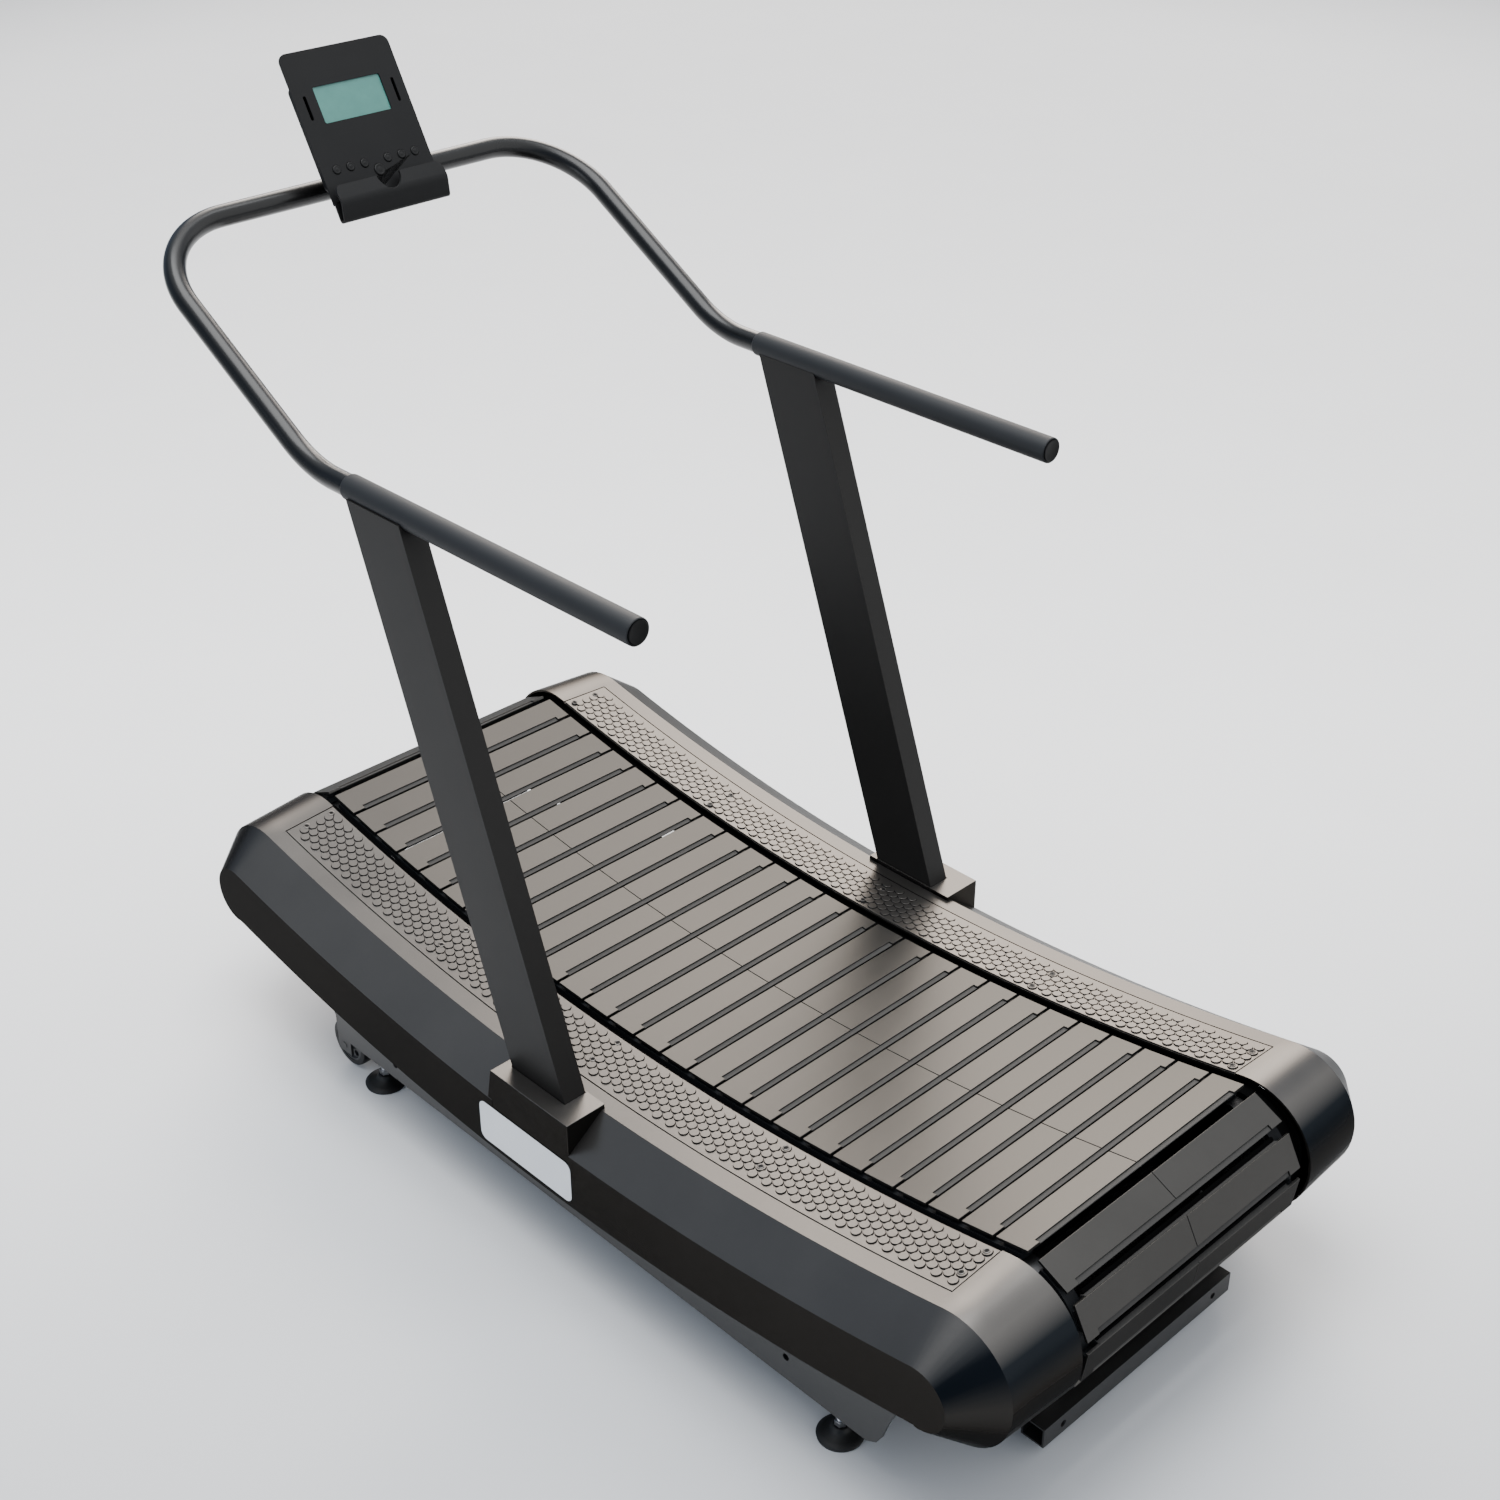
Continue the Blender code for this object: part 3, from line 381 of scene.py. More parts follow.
def slats(name, first, last, body, node):
    """Each slat is a pale tread in two halves, notched over the darker body's stepped rear edge."""
    h, top = SLAT_WIDE / 2, SURFACE_UP
    middle, notch, body_half, lip_half = 0.00055, 0.2164, 0.2157, 0.2140
    ahead, behind, stepped = 0.0008 - h, h + 0.0022, h - 0.0058
    plan = [(middle, ahead), (SLAT_HALF, ahead), (SLAT_HALF, behind), (notch, behind),
            (notch, stepped), (middle, stepped)]
    under = [(-h + 0.0002, -0.0016), (-h + 0.0002, -0.0120), (-h + 0.0065, -0.0178),
             (h - 0.0150, -0.0178), (h - 0.0140, -0.0150), (h + 0.0023, -0.0040),
             (h + 0.0023, -0.0024), (h - 0.0060, -0.0022)]
    treads, bodies = [], []
    for k in range(first, last + 1):
        s = (k + 0.5) * PITCH
        treads.append(ruled([[(x, *on_belt(s, a, top + u)) for x, a in plan] for u in (0, -0.0045)]))
        treads.append(mirrored(treads[-1]))
        bodies.append(prism([on_belt(s, a, top + u) for a, u in under], -body_half, body_half))
    piece(name + "_treads", treads, SLAT, body, [node], edge=0.0006)
    piece(name + "_bodies", bodies, LEDGE, body, edge=0.0005)
    # painted shade: a near-black, unreflecting lip under each gap between slats keeps the gaps dark
    shade_lips = [prism([on_belt((k + 0.5) * PITCH, a - h, top + u) for a, u in
                   ((-0.0062, -0.0078), (-0.0062, -0.0112), (0.0010, -0.0112), (0.0010, -0.0078))],
                  -lip_half, lip_half) for k in range(first + 1, last + 1)]
    piece(name + "_lips", shade_lips, SHADE_BLACK, body)
    blocks = []
    for k in range(first, last + 1):
        s = (k + 0.5) * PITCH
        shape = [on_belt(s, a, top + u) for a, u in
                 ((-0.015, -0.0048), (-0.015, -0.0128), (0.015, -0.0128), (0.015, -0.0048))]
        blocks.append(prism(shape, 0.2185, 0.2375))
        blocks.append(mirrored(blocks[-1]))
    piece(name + "_blocks", blocks, BAND, body, edge=0.0006)


def bands(name, points_up, points_low, body):
    shape = points_up + points_low[::-1]
    right = prism(shape, STRAP_IN, STRAP_OUT)
    piece(name + "_bands", [right, mirrored(right)], BAND, body)


def straight_bands(name, first, last, count, straight, body):
    start, end = (first + 0.5) * PITCH - PAST, (last + 0.5) * PITCH + PAST
    stations = {start + (end - start) * i / count for i in range(count + 1)}
    if straight:
        stations |= set(straight)
    up, low = [], []
    for s in sorted(stations):
        at = min(max(s, straight[0]), straight[1]) if straight else s
        up.append(on_belt(at, s - at, SURFACE_UP + STRAP_TOP))
        low.append(on_belt(at, s - at, SURFACE_UP + STRAP_LOW))
    bands(name, up, low, body)


def wrap_bands(name, first, last, body):
    side = 1 if first > 0 else -1
    start, end = (first + 0.5) * PITCH - PAST, (last + 0.5) * PITCH + PAST
    up, low, steps = [], [], 60
    for i in range(steps + 1):
        s = start + (end - start) * i / steps
        turn = PITCH_TURN - (abs(s) - TOP_HALF) / ROLLER_PITCH_R
        for points, rise in ((up, SURFACE_UP + STRAP_TOP), (low, SURFACE_UP + STRAP_LOW)):
            r = ROLLER_PITCH_R + rise
            points.append((-side * (ROLLER_Y - r * math.sin(turn)), ROLLER_Z + r * math.cos(turn)))
    bands(name, up, low, body)


slats("deck_slats", -13, 12, "belt_deck_run", "belt_top")
slats("rear_slats", 13, 17, "rear_roller_set", "belt_rear_wrap")
slats("return_slats", 18, 42, "belt_return_run", "belt_return")
slats("front_slats", -18, -14, "front_roller_set", "belt_front_wrap")
straight_bands("deck", -13, 12, 120, (-TOP_HALF, TOP_HALF), "belt_deck_run")
wrap_bands("rear", 13, 17, "rear_roller_set")
straight_bands("return", 18, 42, 1, None, "belt_return_run")
wrap_bands("front", -18, -14, "front_roller_set")

# a near-black, unreflecting strip closes the channel between the slats and each cover: painted shade where
# the channel lies in shadow
strip, stations = [], 260
for i in range(stations):
    at = BELT_LONG * i / stations
    away = min(at, BELT_LONG - at) - TOP_HALF
    rise = -0.0062 - 0.0090 * min(max(away / WRAP_LONG - 0.40, 0.0) / 0.12, 1.0)
    section = ((0.2432, -0.0160), (0.2432, -0.0196), (0.2655, -0.0196), (0.2655, rise),
               (0.2635, rise), (0.2635, -0.0160))
    strip.append([(x, *on_belt(at, 0.0, SURFACE_UP + up)) for x, up in section])
verts, faces = ruled(strip)
around = len(strip[0])
last = around * (stations - 1)
faces = faces[1:-1] + [[last + j, last + (j + 1) % around, (j + 1) % around, j]
                       for j in range(around)]
both_sides("channel_shade_strip", [(verts, faces)], SHADE_BLACK, BASE)

for end, sign in (("rear", -1), ("front", 1)):
    y = sign * ROLLER_Y
    pulley = [(0.2160, 0.0880), (0.2164, 0.0906), (0.2175, 0.0912), (0.2395, 0.0912),
              (0.2406, 0.0906), (0.2410, 0.0880), (0.2400, 0.0800), (0.2330, 0.0780),
              (0.2330, 0.0330), (0.2420, 0.0290), (0.2500, 0.0260), (0.2500, 0.0127),
              (0.1900, 0.0127), (0.1900, 0.0260), (0.2230, 0.0290), (0.2240, 0.0330),
              (0.2240, 0.0780), (0.2170, 0.0800)]
    parts = [ring(pulley, (0, y, ROLLER_Z), (1, 0, 0), 96)]
    parts.append(mirrored(parts[0]))
    parts.append(lathe([(-0.2980, 0.0110), (-0.2965, 0.0125), (0.2965, 0.0125), (0.2980, 0.0110)],
                       (0, y, ROLLER_Z), (1, 0, 0), 40))
    piece("turned_roller_" + end, parts, STEEL, end + "_roller_set", ["roller_" + end])


# ---------------------------------------------------------------- covers and pads
def cover_loop(x, drum, top_r, low, sink):
    """One lengthwise loop of a cover: arched top, round ends, underside."""
    y0, z0, r, fall = drum
    turn = math.asin(y0 / (top_r + r))
    count, ends = 110, 26
    whole = math.asin(DRUM[0] / (DECK_R + DRUM[2]))
    turns = [-turn + 2 * turn * i / count for i in range(count + 1)]
    for y, inner in ((PAD_REAR, 1), (PAD_FRONT, -1)):
        t = math.asin(y / DECK_R) * turn / whole
        turns += [t - 0.00006 * inner, t + 0.00006 * inner]
    turns.sort()
    points = []
    for t in turns:
        y = DECK_R * math.sin(t * whole / turn)
        big = top_r + (sink if PAD_REAR < y < PAD_FRONT else 0.0)
        points.append((x, big * math.sin(t), DECK_R - big * math.cos(t)))
    top = len(points)
    for i in range(1, ends + 1):
        t = -turn + (math.pi + turn) * i / ends
        points.append((x, y0 + r * math.sin(t), z0 + (r if t < math.pi / 2 else fall) * math.cos(t)))
    below = []
    for p in points[:top][::-1]:
        y = p[1] / abs(points[0][1]) * y0 * (1 - 1e-4)
        below.append((x, y, low(y)))
    after = [(x, -p[1], p[2]) for p in points[top:][::-1]]
    return points + below + after, top, ends


def between(share):
    """The drum's centre and radii at a share of the way from the inner side to the slope."""
    return tuple(a + (b - a) * share for a, b in zip(DRUM, EDGE_END))


def cover_skin():
    """The cover's outside as loops from its inner side out, open under its middle."""
    def low_inner(y):
        return -0.150 + 0.017 * (y / DRUM[0]) ** 2

    def low_edge(y):
        return -0.157 + 0.017 * (y / EDGE_END[0]) ** 2

    def low_out(y):
        return deck(y, 0.155)

    loops = []
    seam = (PAD_SEAM - COVER_IN) / (COVER_EDGE - COVER_IN)
    for x, drum, top_r, low, sink in (
            (COVER_IN, DRUM, DECK_R, low_inner, PAD_SINK),
            (PAD_SEAM - 0.0002, between(seam), DECK_R + EDGE_DROP * seam, low_inner, PAD_SINK),
            (PAD_SEAM + 0.0002, between(seam), DECK_R + EDGE_DROP * seam, low_inner, 0.0),
            (COVER_EDGE, EDGE_END, DECK_R + EDGE_DROP, low_edge, 0.0),
            (COVER_OUT, BAND_END, BAND_TOP_R, low_out, 0.0)):
        loop, top, ends = cover_loop(x, drum, top_r, low, sink)
        loops.append(loop)
    count = len(loops[0])
    verts = [Vector(p) for loop in loops for p in loop]
    faces, open_half = [], 0.70
    under = range(top + ends, top + ends + top - 1)
    for i in range(len(loops) - 1):
        for j in range(count):
            k = (j + 1) % count
            if j in under and max(abs(loops[-1][n][1]) for n in (j, k)) < open_half:
                continue
            faces.append([i * count + j, i * count + k, (i + 1) * count + k, (i + 1) * count + j])
    base = (len(loops) - 1) * count
    low0 = top + ends
    for j in range(top - 1):
        faces.append([base + j, base + j + 1, base + low0 + top - 2 - j, base + low0 + top - 1 - j])
    faces.append([base + j for j in range(top - 1, low0 + 1)])
    faces.append([base + j % count for j in range(low0 + top - 1, count + 1)])
    return verts, faces


def cover(side):
    skin = cover_skin()
    if side == "left":
        skin = mirrored(skin)
    made = raw("cover_shell_" + side, [skin])
    thick = made.modifiers.new("thick", "SOLIDIFY")
    thick.thickness = COVER_THICK
    thick.offset = -1.0
    thick.use_even_offset = False
    bake(made)
    notch = block(0.3794, 0.4700, -0.0939, 0.0851, -0.0735, 0.0300)
    cut(made, [notch if side == "right" else mirrored(notch)])
    coated(made, COVER)
    soften(made, 0.0012, 2, 24)
    shaded(made, 60)
    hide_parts("side_cover_" + side)
    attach(made, BASE)


for side in ("right", "left"):
    cover(side)

ys = [PAD_REAR + 0.0018 + (PAD_FRONT - PAD_REAR - 0.0036) * i / 130 for i in range(131)]
pad = ruled([[(x, y, deck(y, 0.0019 + TOP_FALL * (x - COVER_IN))) for y in ys]
             + [(x, y, deck(y, TOP_FALL * (x - COVER_IN))) for y in ys[::-1]]
             for x in (0.2605, PAD_SEAM - 0.0018)])
both_sides("pad_plate", [pad], PAD, BASE, ["step_pad_{}"], edge=0.0005)


def studs(shape):
    """Rows of low round studs, closely set."""
    found = []
    for row in range(9):
        x = 0.2722 + 0.0084 * row
        fall = TOP_FALL * (x - COVER_IN)
        y = PAD_REAR + 0.0135 + (0.01425 if row % 2 else 0.0)
        while y < PAD_FRONT - 0.0120:
            out = Vector((TOP_FALL, -y / DECK_R, math.sqrt(1 - (y / DECK_R) ** 2)))
            found.append(lathe(shape, (x, y, deck(y, fall)), out, 16))
            y += 0.0285
    return found


both_sides("pad_studs", studs([(-0.0006, 0.0074), (0.0017, 0.0074), (0.0020, 0.0071),
                               (0.0020, 0.0010)]), PAD, BASE, smooth=20)
# painted shadow: near-black discs under the studs paint the dark outlines and crescents of the studs' shade
# on the plate
both_sides("stud_shadow_discs", studs([(-0.0004, 0.0081), (0.0003, 0.0081)]), SHADE_BLACK, BASE)

screws, cups = [], []
for y in (0.7385, 0.3720, 0.0, -0.3630, -0.7330):
    for x in (0.2722, 0.3226):
        out = (TOP_FALL, -y / DECK_R, 1)
        at = (x, y, deck(y, TOP_FALL * (x - COVER_IN)))
        cups.append(ring([(0.0010, 0.0036), (0.0028, 0.0036), (0.0030, 0.0042), (0.0027, 0.0052),
                          (0.0010, 0.0056)], at, out, 24))
        screws.append(lathe([(0.0005, 0.0037), (0.0027, 0.0037), (0.0028, 0.0018),
                             (0.0022, 0.0016)], at, out, 24))
both_sides("pad_screws", screws, SCREW, BASE)
both_sides("pad_cups", cups, PAD, BASE)

# the box beside each upright
shoe = prism([(-0.0935, -0.0732), (0.0985, -0.0732), (0.0847, 0.0), (-0.0935, 0.0)], 0.3797,
             COVER_OUT - 0.0005)
room = block(0.3700, COVER_OUT - 0.004, -0.0895, 0.0807, -0.0900, -0.0040)


def upright_line(z):
    return UP_MID_Y + z * UP_LEAN


def upright_outline(half, low, top):
    return [(upright_line(low) - half, low), (upright_line(low) + half, low),
            (upright_line(top) + half, top), (upright_line(top) - half, top)]


slot = prism(upright_outline(UP_WIDE / 2 + 0.0006, PAD_Z, UP_TOP), UP_IN - 0.0006, UP_OUT + 0.0006)
both_sides("shoe", [shoe], COVER, BASE, ["upright_shoe_{}"], edge=0.0012, cuts=[room, slot])


def rounded(x0, x1, v0, v1, r, steps=8):
    """A rectangle with round corners."""
    points = []
    for cx, cv, start in ((x1 - r, v1 - r, 0), (x0 + r, v1 - r, 90), (x0 + r, v0 + r, 180),
                          (x1 - r, v0 + r, 270)):
        for i in range(steps + 1):
            t = math.radians(start + 90 * i / steps)
            points.append((cx + r * math.cos(t), cv + r * math.sin(t)))
    return points


plate = rounded(-0.0975, 0.1165, -0.1455, -0.0715, 0.0130)
both_sides("blank_label", [prism(plate, COVER_OUT + 0.0003, COVER_OUT + 0.0012)], LABEL, BASE,
           ["name_plate_{}"], edge=0.0003)

# ---------------------------------------------------------------- uprights, hollowed to meet the grips
post = prism(upright_outline(UP_WIDE / 2, PAD_Z + 0.0003, UP_TOP + 0.0130), UP_IN, UP_OUT)
foot = block(0.3600, 0.4144, -0.1450, 0.0850, PAD_Z + 0.0003, PAD_Z + 0.0063)
web = block(GRIP_X - 0.0045, GRIP_X + 0.0045, 0.2450, 0.3550, 0.8150, GRIP_Z - 0.0174)
both_sides("post", [post], POST, BASE, ["upright_{}"], edge=0.0016, join=[foot, web], rounds=3,
           cuts=[rod((GRIP_X, -0.3, GRIP_Z), (GRIP_X, 0.5, GRIP_Z), 0.0199, 64)])

# ---------------------------------------------------------------- handrail
def bent(corners, radii, steps):
    """A path through the corners, with a round bend at each inner one."""
    path = [Vector(corners[0])]
    for i in range(1, len(corners) - 1):
        before, at, after = (Vector(c) for c in corners[i - 1:i + 2])
        a, b = (before - at).normalized(), (after - at).normalized()
        half = a.angle(b) / 2
        back = radii[i - 1] / math.tan(half)
        centre = at + (a + b).normalized() * radii[i - 1] / math.sin(half)
        start, end = at + a * back - centre, at + b * back - centre
        sweep = start.angle(end)
        for j in range(steps + 1):
            t = sweep * j / steps
            path.append(centre + (start * math.sin(sweep - t) + end * math.sin(t)) / math.sin(sweep))
    path.append(Vector(corners[-1]))
    return path


def swept(path, radius, sides):
    """A round bar along a path."""
    loops, normal = [], None
    for i, point in enumerate(path):
        before, after = path[max(i - 1, 0)], path[min(i + 1, len(path) - 1)]
        along = (after - before).normalized()
        if 0 < i < len(path) - 1:
            along = ((point - before).normalized() + (after - point).normalized()).normalized()
        if normal is None:
            normal = along.cross(Vector((0.3, 0.1, 1.0))).normalized()
        normal = (normal - along * normal.dot(along)).normalized()
        side = along.cross(normal)
        turn = [2 * math.pi * k / sides for k in range(sides)]
        loops.append([point + (normal * math.cos(t) + side * math.sin(t)) * radius for t in turn])
    return ruled(loops)


knee = GRIP_FRONT + 0.092
corners = [(-GRIP_X, GRIP_REAR + 0.002, GRIP_Z), (-GRIP_X, knee, GRIP_Z), (-GRIP_X, NOSE_Y, NOSE_Z),
           (GRIP_X, NOSE_Y, NOSE_Z), (GRIP_X, knee, GRIP_Z), (GRIP_X, GRIP_REAR + 0.002, GRIP_Z)]
path = bent(corners, [0.200, 0.145, 0.145, 0.200], 28)
piece("rail_tube", [swept(path, 0.0170, 48)], TUBE, BASE, ["handrail"])

sleeve = [(-0.0030, 0.0176), (-0.0034, 0.0184), (-0.0022, 0.0194), (-0.0004, 0.0196), (0.5970, 0.0196),
          (0.5990, 0.0194), (0.6005, 0.0184), (0.6010, 0.0176)]
both_sides("foam_grip", [ring(sleeve, (GRIP_X, GRIP_REAR, GRIP_Z), (0, 1, 0), 56)], GRIP, BASE,
           ["grip_{}"])
cap = [(-0.0040, 0.0110), (-0.0046, 0.0140), (-0.0046, 0.0158), (-0.0040, 0.0166),
       (-0.0004, 0.0168), (-0.0003, 0.0120), (0.0240, 0.0118)]
both_sides("rail_cap", [lathe(cap, (GRIP_X, GRIP_REAR, GRIP_Z), (0, 1, 0), 56)], CAP, BASE,
           ["grip_cap_{}"])


# ---------------------------------------------------------------- console
def on_panel(x, up, out=0.0):
    return (x, KEYS_Y + up * math.sin(TILT) - out * math.cos(TILT),
            KEYS_Z + up * math.cos(TILT) + out * math.sin(TILT))


def slab(outline, out0, out1):
    return ruled([[on_panel(x, v, out) for x, v in outline] for out in (out0, out1)])


def disc(x, v, r, sides=40):
    return [(x + r * math.cos(2 * math.pi * i / sides), v + r * math.sin(2 * math.pi * i / sides))
            for i in range(sides)]


KEYS = [-0.0745, -0.0487, -0.0222, 0.0222, 0.0487, 0.0745]
CORNER = 0.0140
outline = [(PANEL_HALF, PANEL_LOW + 0.004)]
outline += [(PANEL_HALF - CORNER + CORNER * math.cos(math.radians(a)),
             PANEL_TOP - CORNER + CORNER * math.sin(math.radians(a))) for a in range(0, 91, 10)]
outline += [(-x, v) for x, v in outline[::-1]]
holes = [slab(rounded(-0.0627, 0.0627, 0.0712, 0.1290, 0.0032), -0.01, 0.01)]
holes += [slab(disc(x, 0, 0.0076), -0.01, 0.01) for x in KEYS]
holes.append(slab(disc(0, -0.0150, 0.0101), -0.01, 0.01))
for x in (-0.0825, 0.0825):
    holes.append(slab(rounded(x - 0.0028, x + 0.0028, 0.0800, 0.1185, 0.0026, 5), -0.01, 0.01))
# the ledge: the sheet's lower edge turned back and up, with soft bends
spine = [on_panel(0, PANEL_LOW + 0.006)[1:], (0.7905, 1.0560), (0.7800, 1.0600), (0.7838, 1.0925),
         (0.8018, 1.1130)]
spine3 = bent([(0, y, z) for y, z in spine], [0.0070, 0.0060, 0.0200], 8)
inside, outside = [], []
for i, p in enumerate(spine3):
    a, b = spine3[max(i - 1, 0)], spine3[min(i + 1, len(spine3) - 1)]
    d = (b - a).normalized()
    outside.append((p.y, p.z))
    inside.append((p.y + PANEL_THICK * d.z, p.z - PANEL_THICK * d.y))
lip = prism(outside + inside[::-1], -PANEL_HALF + 0.0003, PANEL_HALF - 0.0003)

LIP_TOP, NOTCH_R = 1.1140, 0.0220
LIP_YS = (0.770, 0.8072)
arc = [(PANEL_HALF - CORNER + CORNER * math.sin(math.radians(a)),
        LIP_TOP - CORNER + CORNER * math.cos(math.radians(a))) for a in range(0, 91, 9)][::-1]
corner = [(PANEL_HALF + 0.01, LIP_TOP - CORNER)] + arc
corner += [(PANEL_HALF - CORNER, 1.13), (PANEL_HALF + 0.01, 1.13)]
notch = [(NOTCH_R * math.cos(math.radians(a)), 1.1150 - NOTCH_R * math.sin(math.radians(a)))
         for a in range(0, 181, 6)] + [(-NOTCH_R, 1.14), (NOTCH_R, 1.14)]
trims = [ruled([[(x, y, z) for x, z in corner] for y in LIP_YS])]
trims.append(mirrored(trims[0]))
trims.append(ruled([[(x, y, z) for x, z in notch] for y in LIP_YS]))
face = raw("console_sheet", [slab(outline, -PANEL_THICK, 0.0)])
cut(face, [lip], "UNION")
cut(face, holes + trims)
coated(face, PANEL)
soften(face, 0.0006, 2, 35)
shaded(face, 60)
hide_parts("console_face")
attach(face, BASE)

piece("console_back", [slab(rounded(-0.0930, 0.0930, -0.0280, 0.1400, 0.0100), -0.0240, -0.0034)],
      PANEL, BASE, ["console_housing"], edge=0.0022, rounds=3,
      cuts=[slab(rounded(-0.0905, 0.0905, -0.0255, 0.1375, 0.0080), -0.0215, 0.0100)])
piece("display", [slab(rounded(-0.0635, 0.0635, 0.0704, 0.1296, 0.0030), -0.0180, -0.0024)], LCD,
      BASE, ["console_screen"], edge=0.0002)
normal = Vector(on_panel(0, 0, 1)) - Vector(on_panel(0, 0, 0))
for i, x in enumerate(KEYS):
    top = [(-0.0180, 0.0064), (-0.0010, 0.0070), (0.0004, 0.0070), (0.0013, 0.0066),
           (0.0018, 0.0056), (0.0016, 0.0046), (0.0013, 0.0036), (0.0019, 0.0022), (0.0021, 0.0008)]
    piece("soft_key_%d" % (i + 1), [lathe(top, on_panel(x, 0), normal, 32)], KEY,
          "button_%d" % (i + 1), ["key_%d" % (i + 1)], smooth=60)
top = [(-0.0180, 0.0088), (-0.0010, 0.0095), (0.0004, 0.0095), (0.0014, 0.0090), (0.0019, 0.0078),
       (0.0016, 0.0064), (0.0012, 0.0052), (0.0018, 0.0034), (0.0020, 0.0010)]
piece("soft_key_centre", [lathe(top, on_panel(0, -0.0150), normal, 40)], KEY, "button_centre",
      ["key_centre"], smooth=60)

arm = [on_panel(0, -0.020, -0.0244)[1:], on_panel(0, 0.030, -0.0244)[1:],
       (NOSE_Y + 0.004, NOSE_Z + 0.0215), (NOSE_Y + 0.0215, NOSE_Z + 0.004),
       (NOSE_Y + 0.0215, NOSE_Z - 0.010), (NOSE_Y + 0.004, NOSE_Z - 0.0215),
       (NOSE_Y - 0.016, NOSE_Z - 0.0180)]
piece("saddle", [prism(arm, -0.0450, 0.0450)], FRAME, BASE, ["console_bracket"], edge=0.0018,
      cuts=[rod((-0.2, NOSE_Y, NOSE_Z), (0.2, NOSE_Y, NOSE_Z), 0.0174, 48)])
bolts = []
for x in (-0.030, 0.030):
    bolts.append(lathe([(-0.001, 0.0062), (0.0030, 0.0062), (0.0040, 0.0050), (0.0040, 0.0026),
                        (0.0020, 0.0024)], (x, NOSE_Y - 0.006, NOSE_Z - 0.0196), (0, -0.17, -1), 24))
piece("saddle_bolts", bolts, SCREW, BASE)

# ---------------------------------------------------------------- base
outer = block(-0.2170, 0.2170, -0.8120, -0.7720, -0.2750, -0.2400)
inner = block(-0.2200, 0.2200, -0.8090, -0.7750, -0.2720, -0.2430)
arms = [block(0.1500, 0.1900, -0.7850, -0.4950, -0.2420, -0.2184)]
arms.append(mirrored(arms[0]))
drilled = [rod((s * 0.1743, -0.83, -0.2580), (s * 0.1743, -0.80, -0.2580), 0.0055) for s in (-1, 1)]
piece("rear_bar_tube", [outer], FRAME, BASE, ["rear_bar"], edge=0.0016, join=arms,
      cuts=[inner] + drilled)

base = [(0.0, 0.0330), (0.0008, 0.0342), (0.0040, 0.0349), (0.0058, 0.0335), (0.0085, 0.0260),
        (0.0120, 0.0170), (0.0160, 0.0125), (0.0190, 0.0118), (0.0200, 0.0100), (0.0200, 0.0050)]
thread = [(0.0150, 0.0055)]
z = 0.0170
while z < 0.1140:
    thread += [(z, 0.0054), (z + 0.0009, 0.0060)]
    z += 0.0018
thread.append((0.1150, 0.0050))
for end, y in FOOT_YS:
    for side, x in (("right", FOOT_X), ("left", -FOOT_X)):
        body = "foot_%s_%s" % (end, side)
        piece("pad_%s_%s" % (end, side), [lathe(base, (x, y, -FLOOR), sides=56)], RUBBER, body,
              [body], smooth=50)
        nut = lathe([(0.0210, 0.0086), (0.0216, 0.0094), (0.0290, 0.0094), (0.0296, 0.0086)],
                    (x, y, -FLOOR), sides=6)
        piece("stud_%s_%s" % (end, side), [lathe(thread, (x, y, -FLOOR), sides=28), nut], PLATED,
              body, smooth=40)
        piece("lock_nut_%s_%s" % (end, side),
              [lathe([(-0.0100, 0.0095), (-0.0094, 0.0107), (-0.0008, 0.0107), (-0.0004, 0.0100)],
                     (x, y, RAIL_LOW), sides=6)], PLATED, BASE, smooth=30,
              cuts=[rod((x, y, -0.24), (x, y, -0.22), 0.0063)])

tyre = [(-0.0120, WHEEL_R - 0.0040), (-0.0108, WHEEL_R - 0.0012), (-0.0080, WHEEL_R),
        (0.0080, WHEEL_R), (0.0108, WHEEL_R - 0.0012), (0.0120, WHEEL_R - 0.0040),
        (0.0118, WHEEL_R - 0.0100), (0.0105, WHEEL_R - 0.0105), (-0.0105, WHEEL_R - 0.0105),
        (-0.0118, WHEEL_R - 0.0100)]
hub = [(-0.0108, WHEEL_R - 0.0102), (-0.0108, WHEEL_R - 0.0130), (-0.0070, WHEEL_R - 0.0145),
       (-0.0070, 0.0150), (-0.0118, 0.0130), (-0.0118, 0.0070), (0.0118, 0.0070),
       (0.0118, 0.0130), (0.0070, 0.0150), (0.0070, WHEEL_R - 0.0145), (0.0108, WHEEL_R - 0.0130),
       (0.0108, WHEEL_R - 0.0102)]
HOLES, HOLE_OUT = 5, 0.0220
for side, sign in (("right", 1), ("left", -1)):
    at = (sign * WHEEL_X, WHEEL_Y, WHEEL_Z)
    piece("tyre_" + side, [ring(tyre, at, (1, 0, 0), 72)], RUBBER, "wheel_" + side,
          ["transport_wheel_" + side])
    spots = []
    for i in range(HOLES):
        t = 2 * math.pi * i / HOLES + 0.3
        y, z = WHEEL_Y + HOLE_OUT * math.cos(t), WHEEL_Z + HOLE_OUT * math.sin(t)
        spots.append(rod((sign * 0.36, y, z), (sign * 0.42, y, z), 0.0056, 20))
    piece("hub_" + side, [ring(hub, at, (1, 0, 0), 60)], HUB, "wheel_" + side, cuts=spots)

# ---------------------------------------------------------------- finishes of the frame's own parts
looks = {"frame_plate": FRAME, "base_rail": FRAME, "cross_tube": FRAME, "bearing": FRAME,
         "wheel_bracket": FRAME, "belt_rail": RUBBER}
for name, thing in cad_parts.items():
    for start, look in looks.items():
        if name.startswith(start):
            coated(thing, look)
            if look is FRAME:
                soften(thing, 0.0007, 2, 40, harden=False)

# ---------------------------------------------------------------- floor, light, camera
ROOM = 15                # half the floor's side
ground = bpy.data.meshes.new("ground")
ground.from_pydata([(-ROOM, -ROOM, 0), (ROOM, -ROOM, 0), (ROOM, ROOM, 0), (-ROOM, ROOM, 0)], [],
                   [(0, 1, 2, 3)])
floor = bpy.data.objects.new("ground", ground)
bpy.context.scene.collection.objects.link(floor)


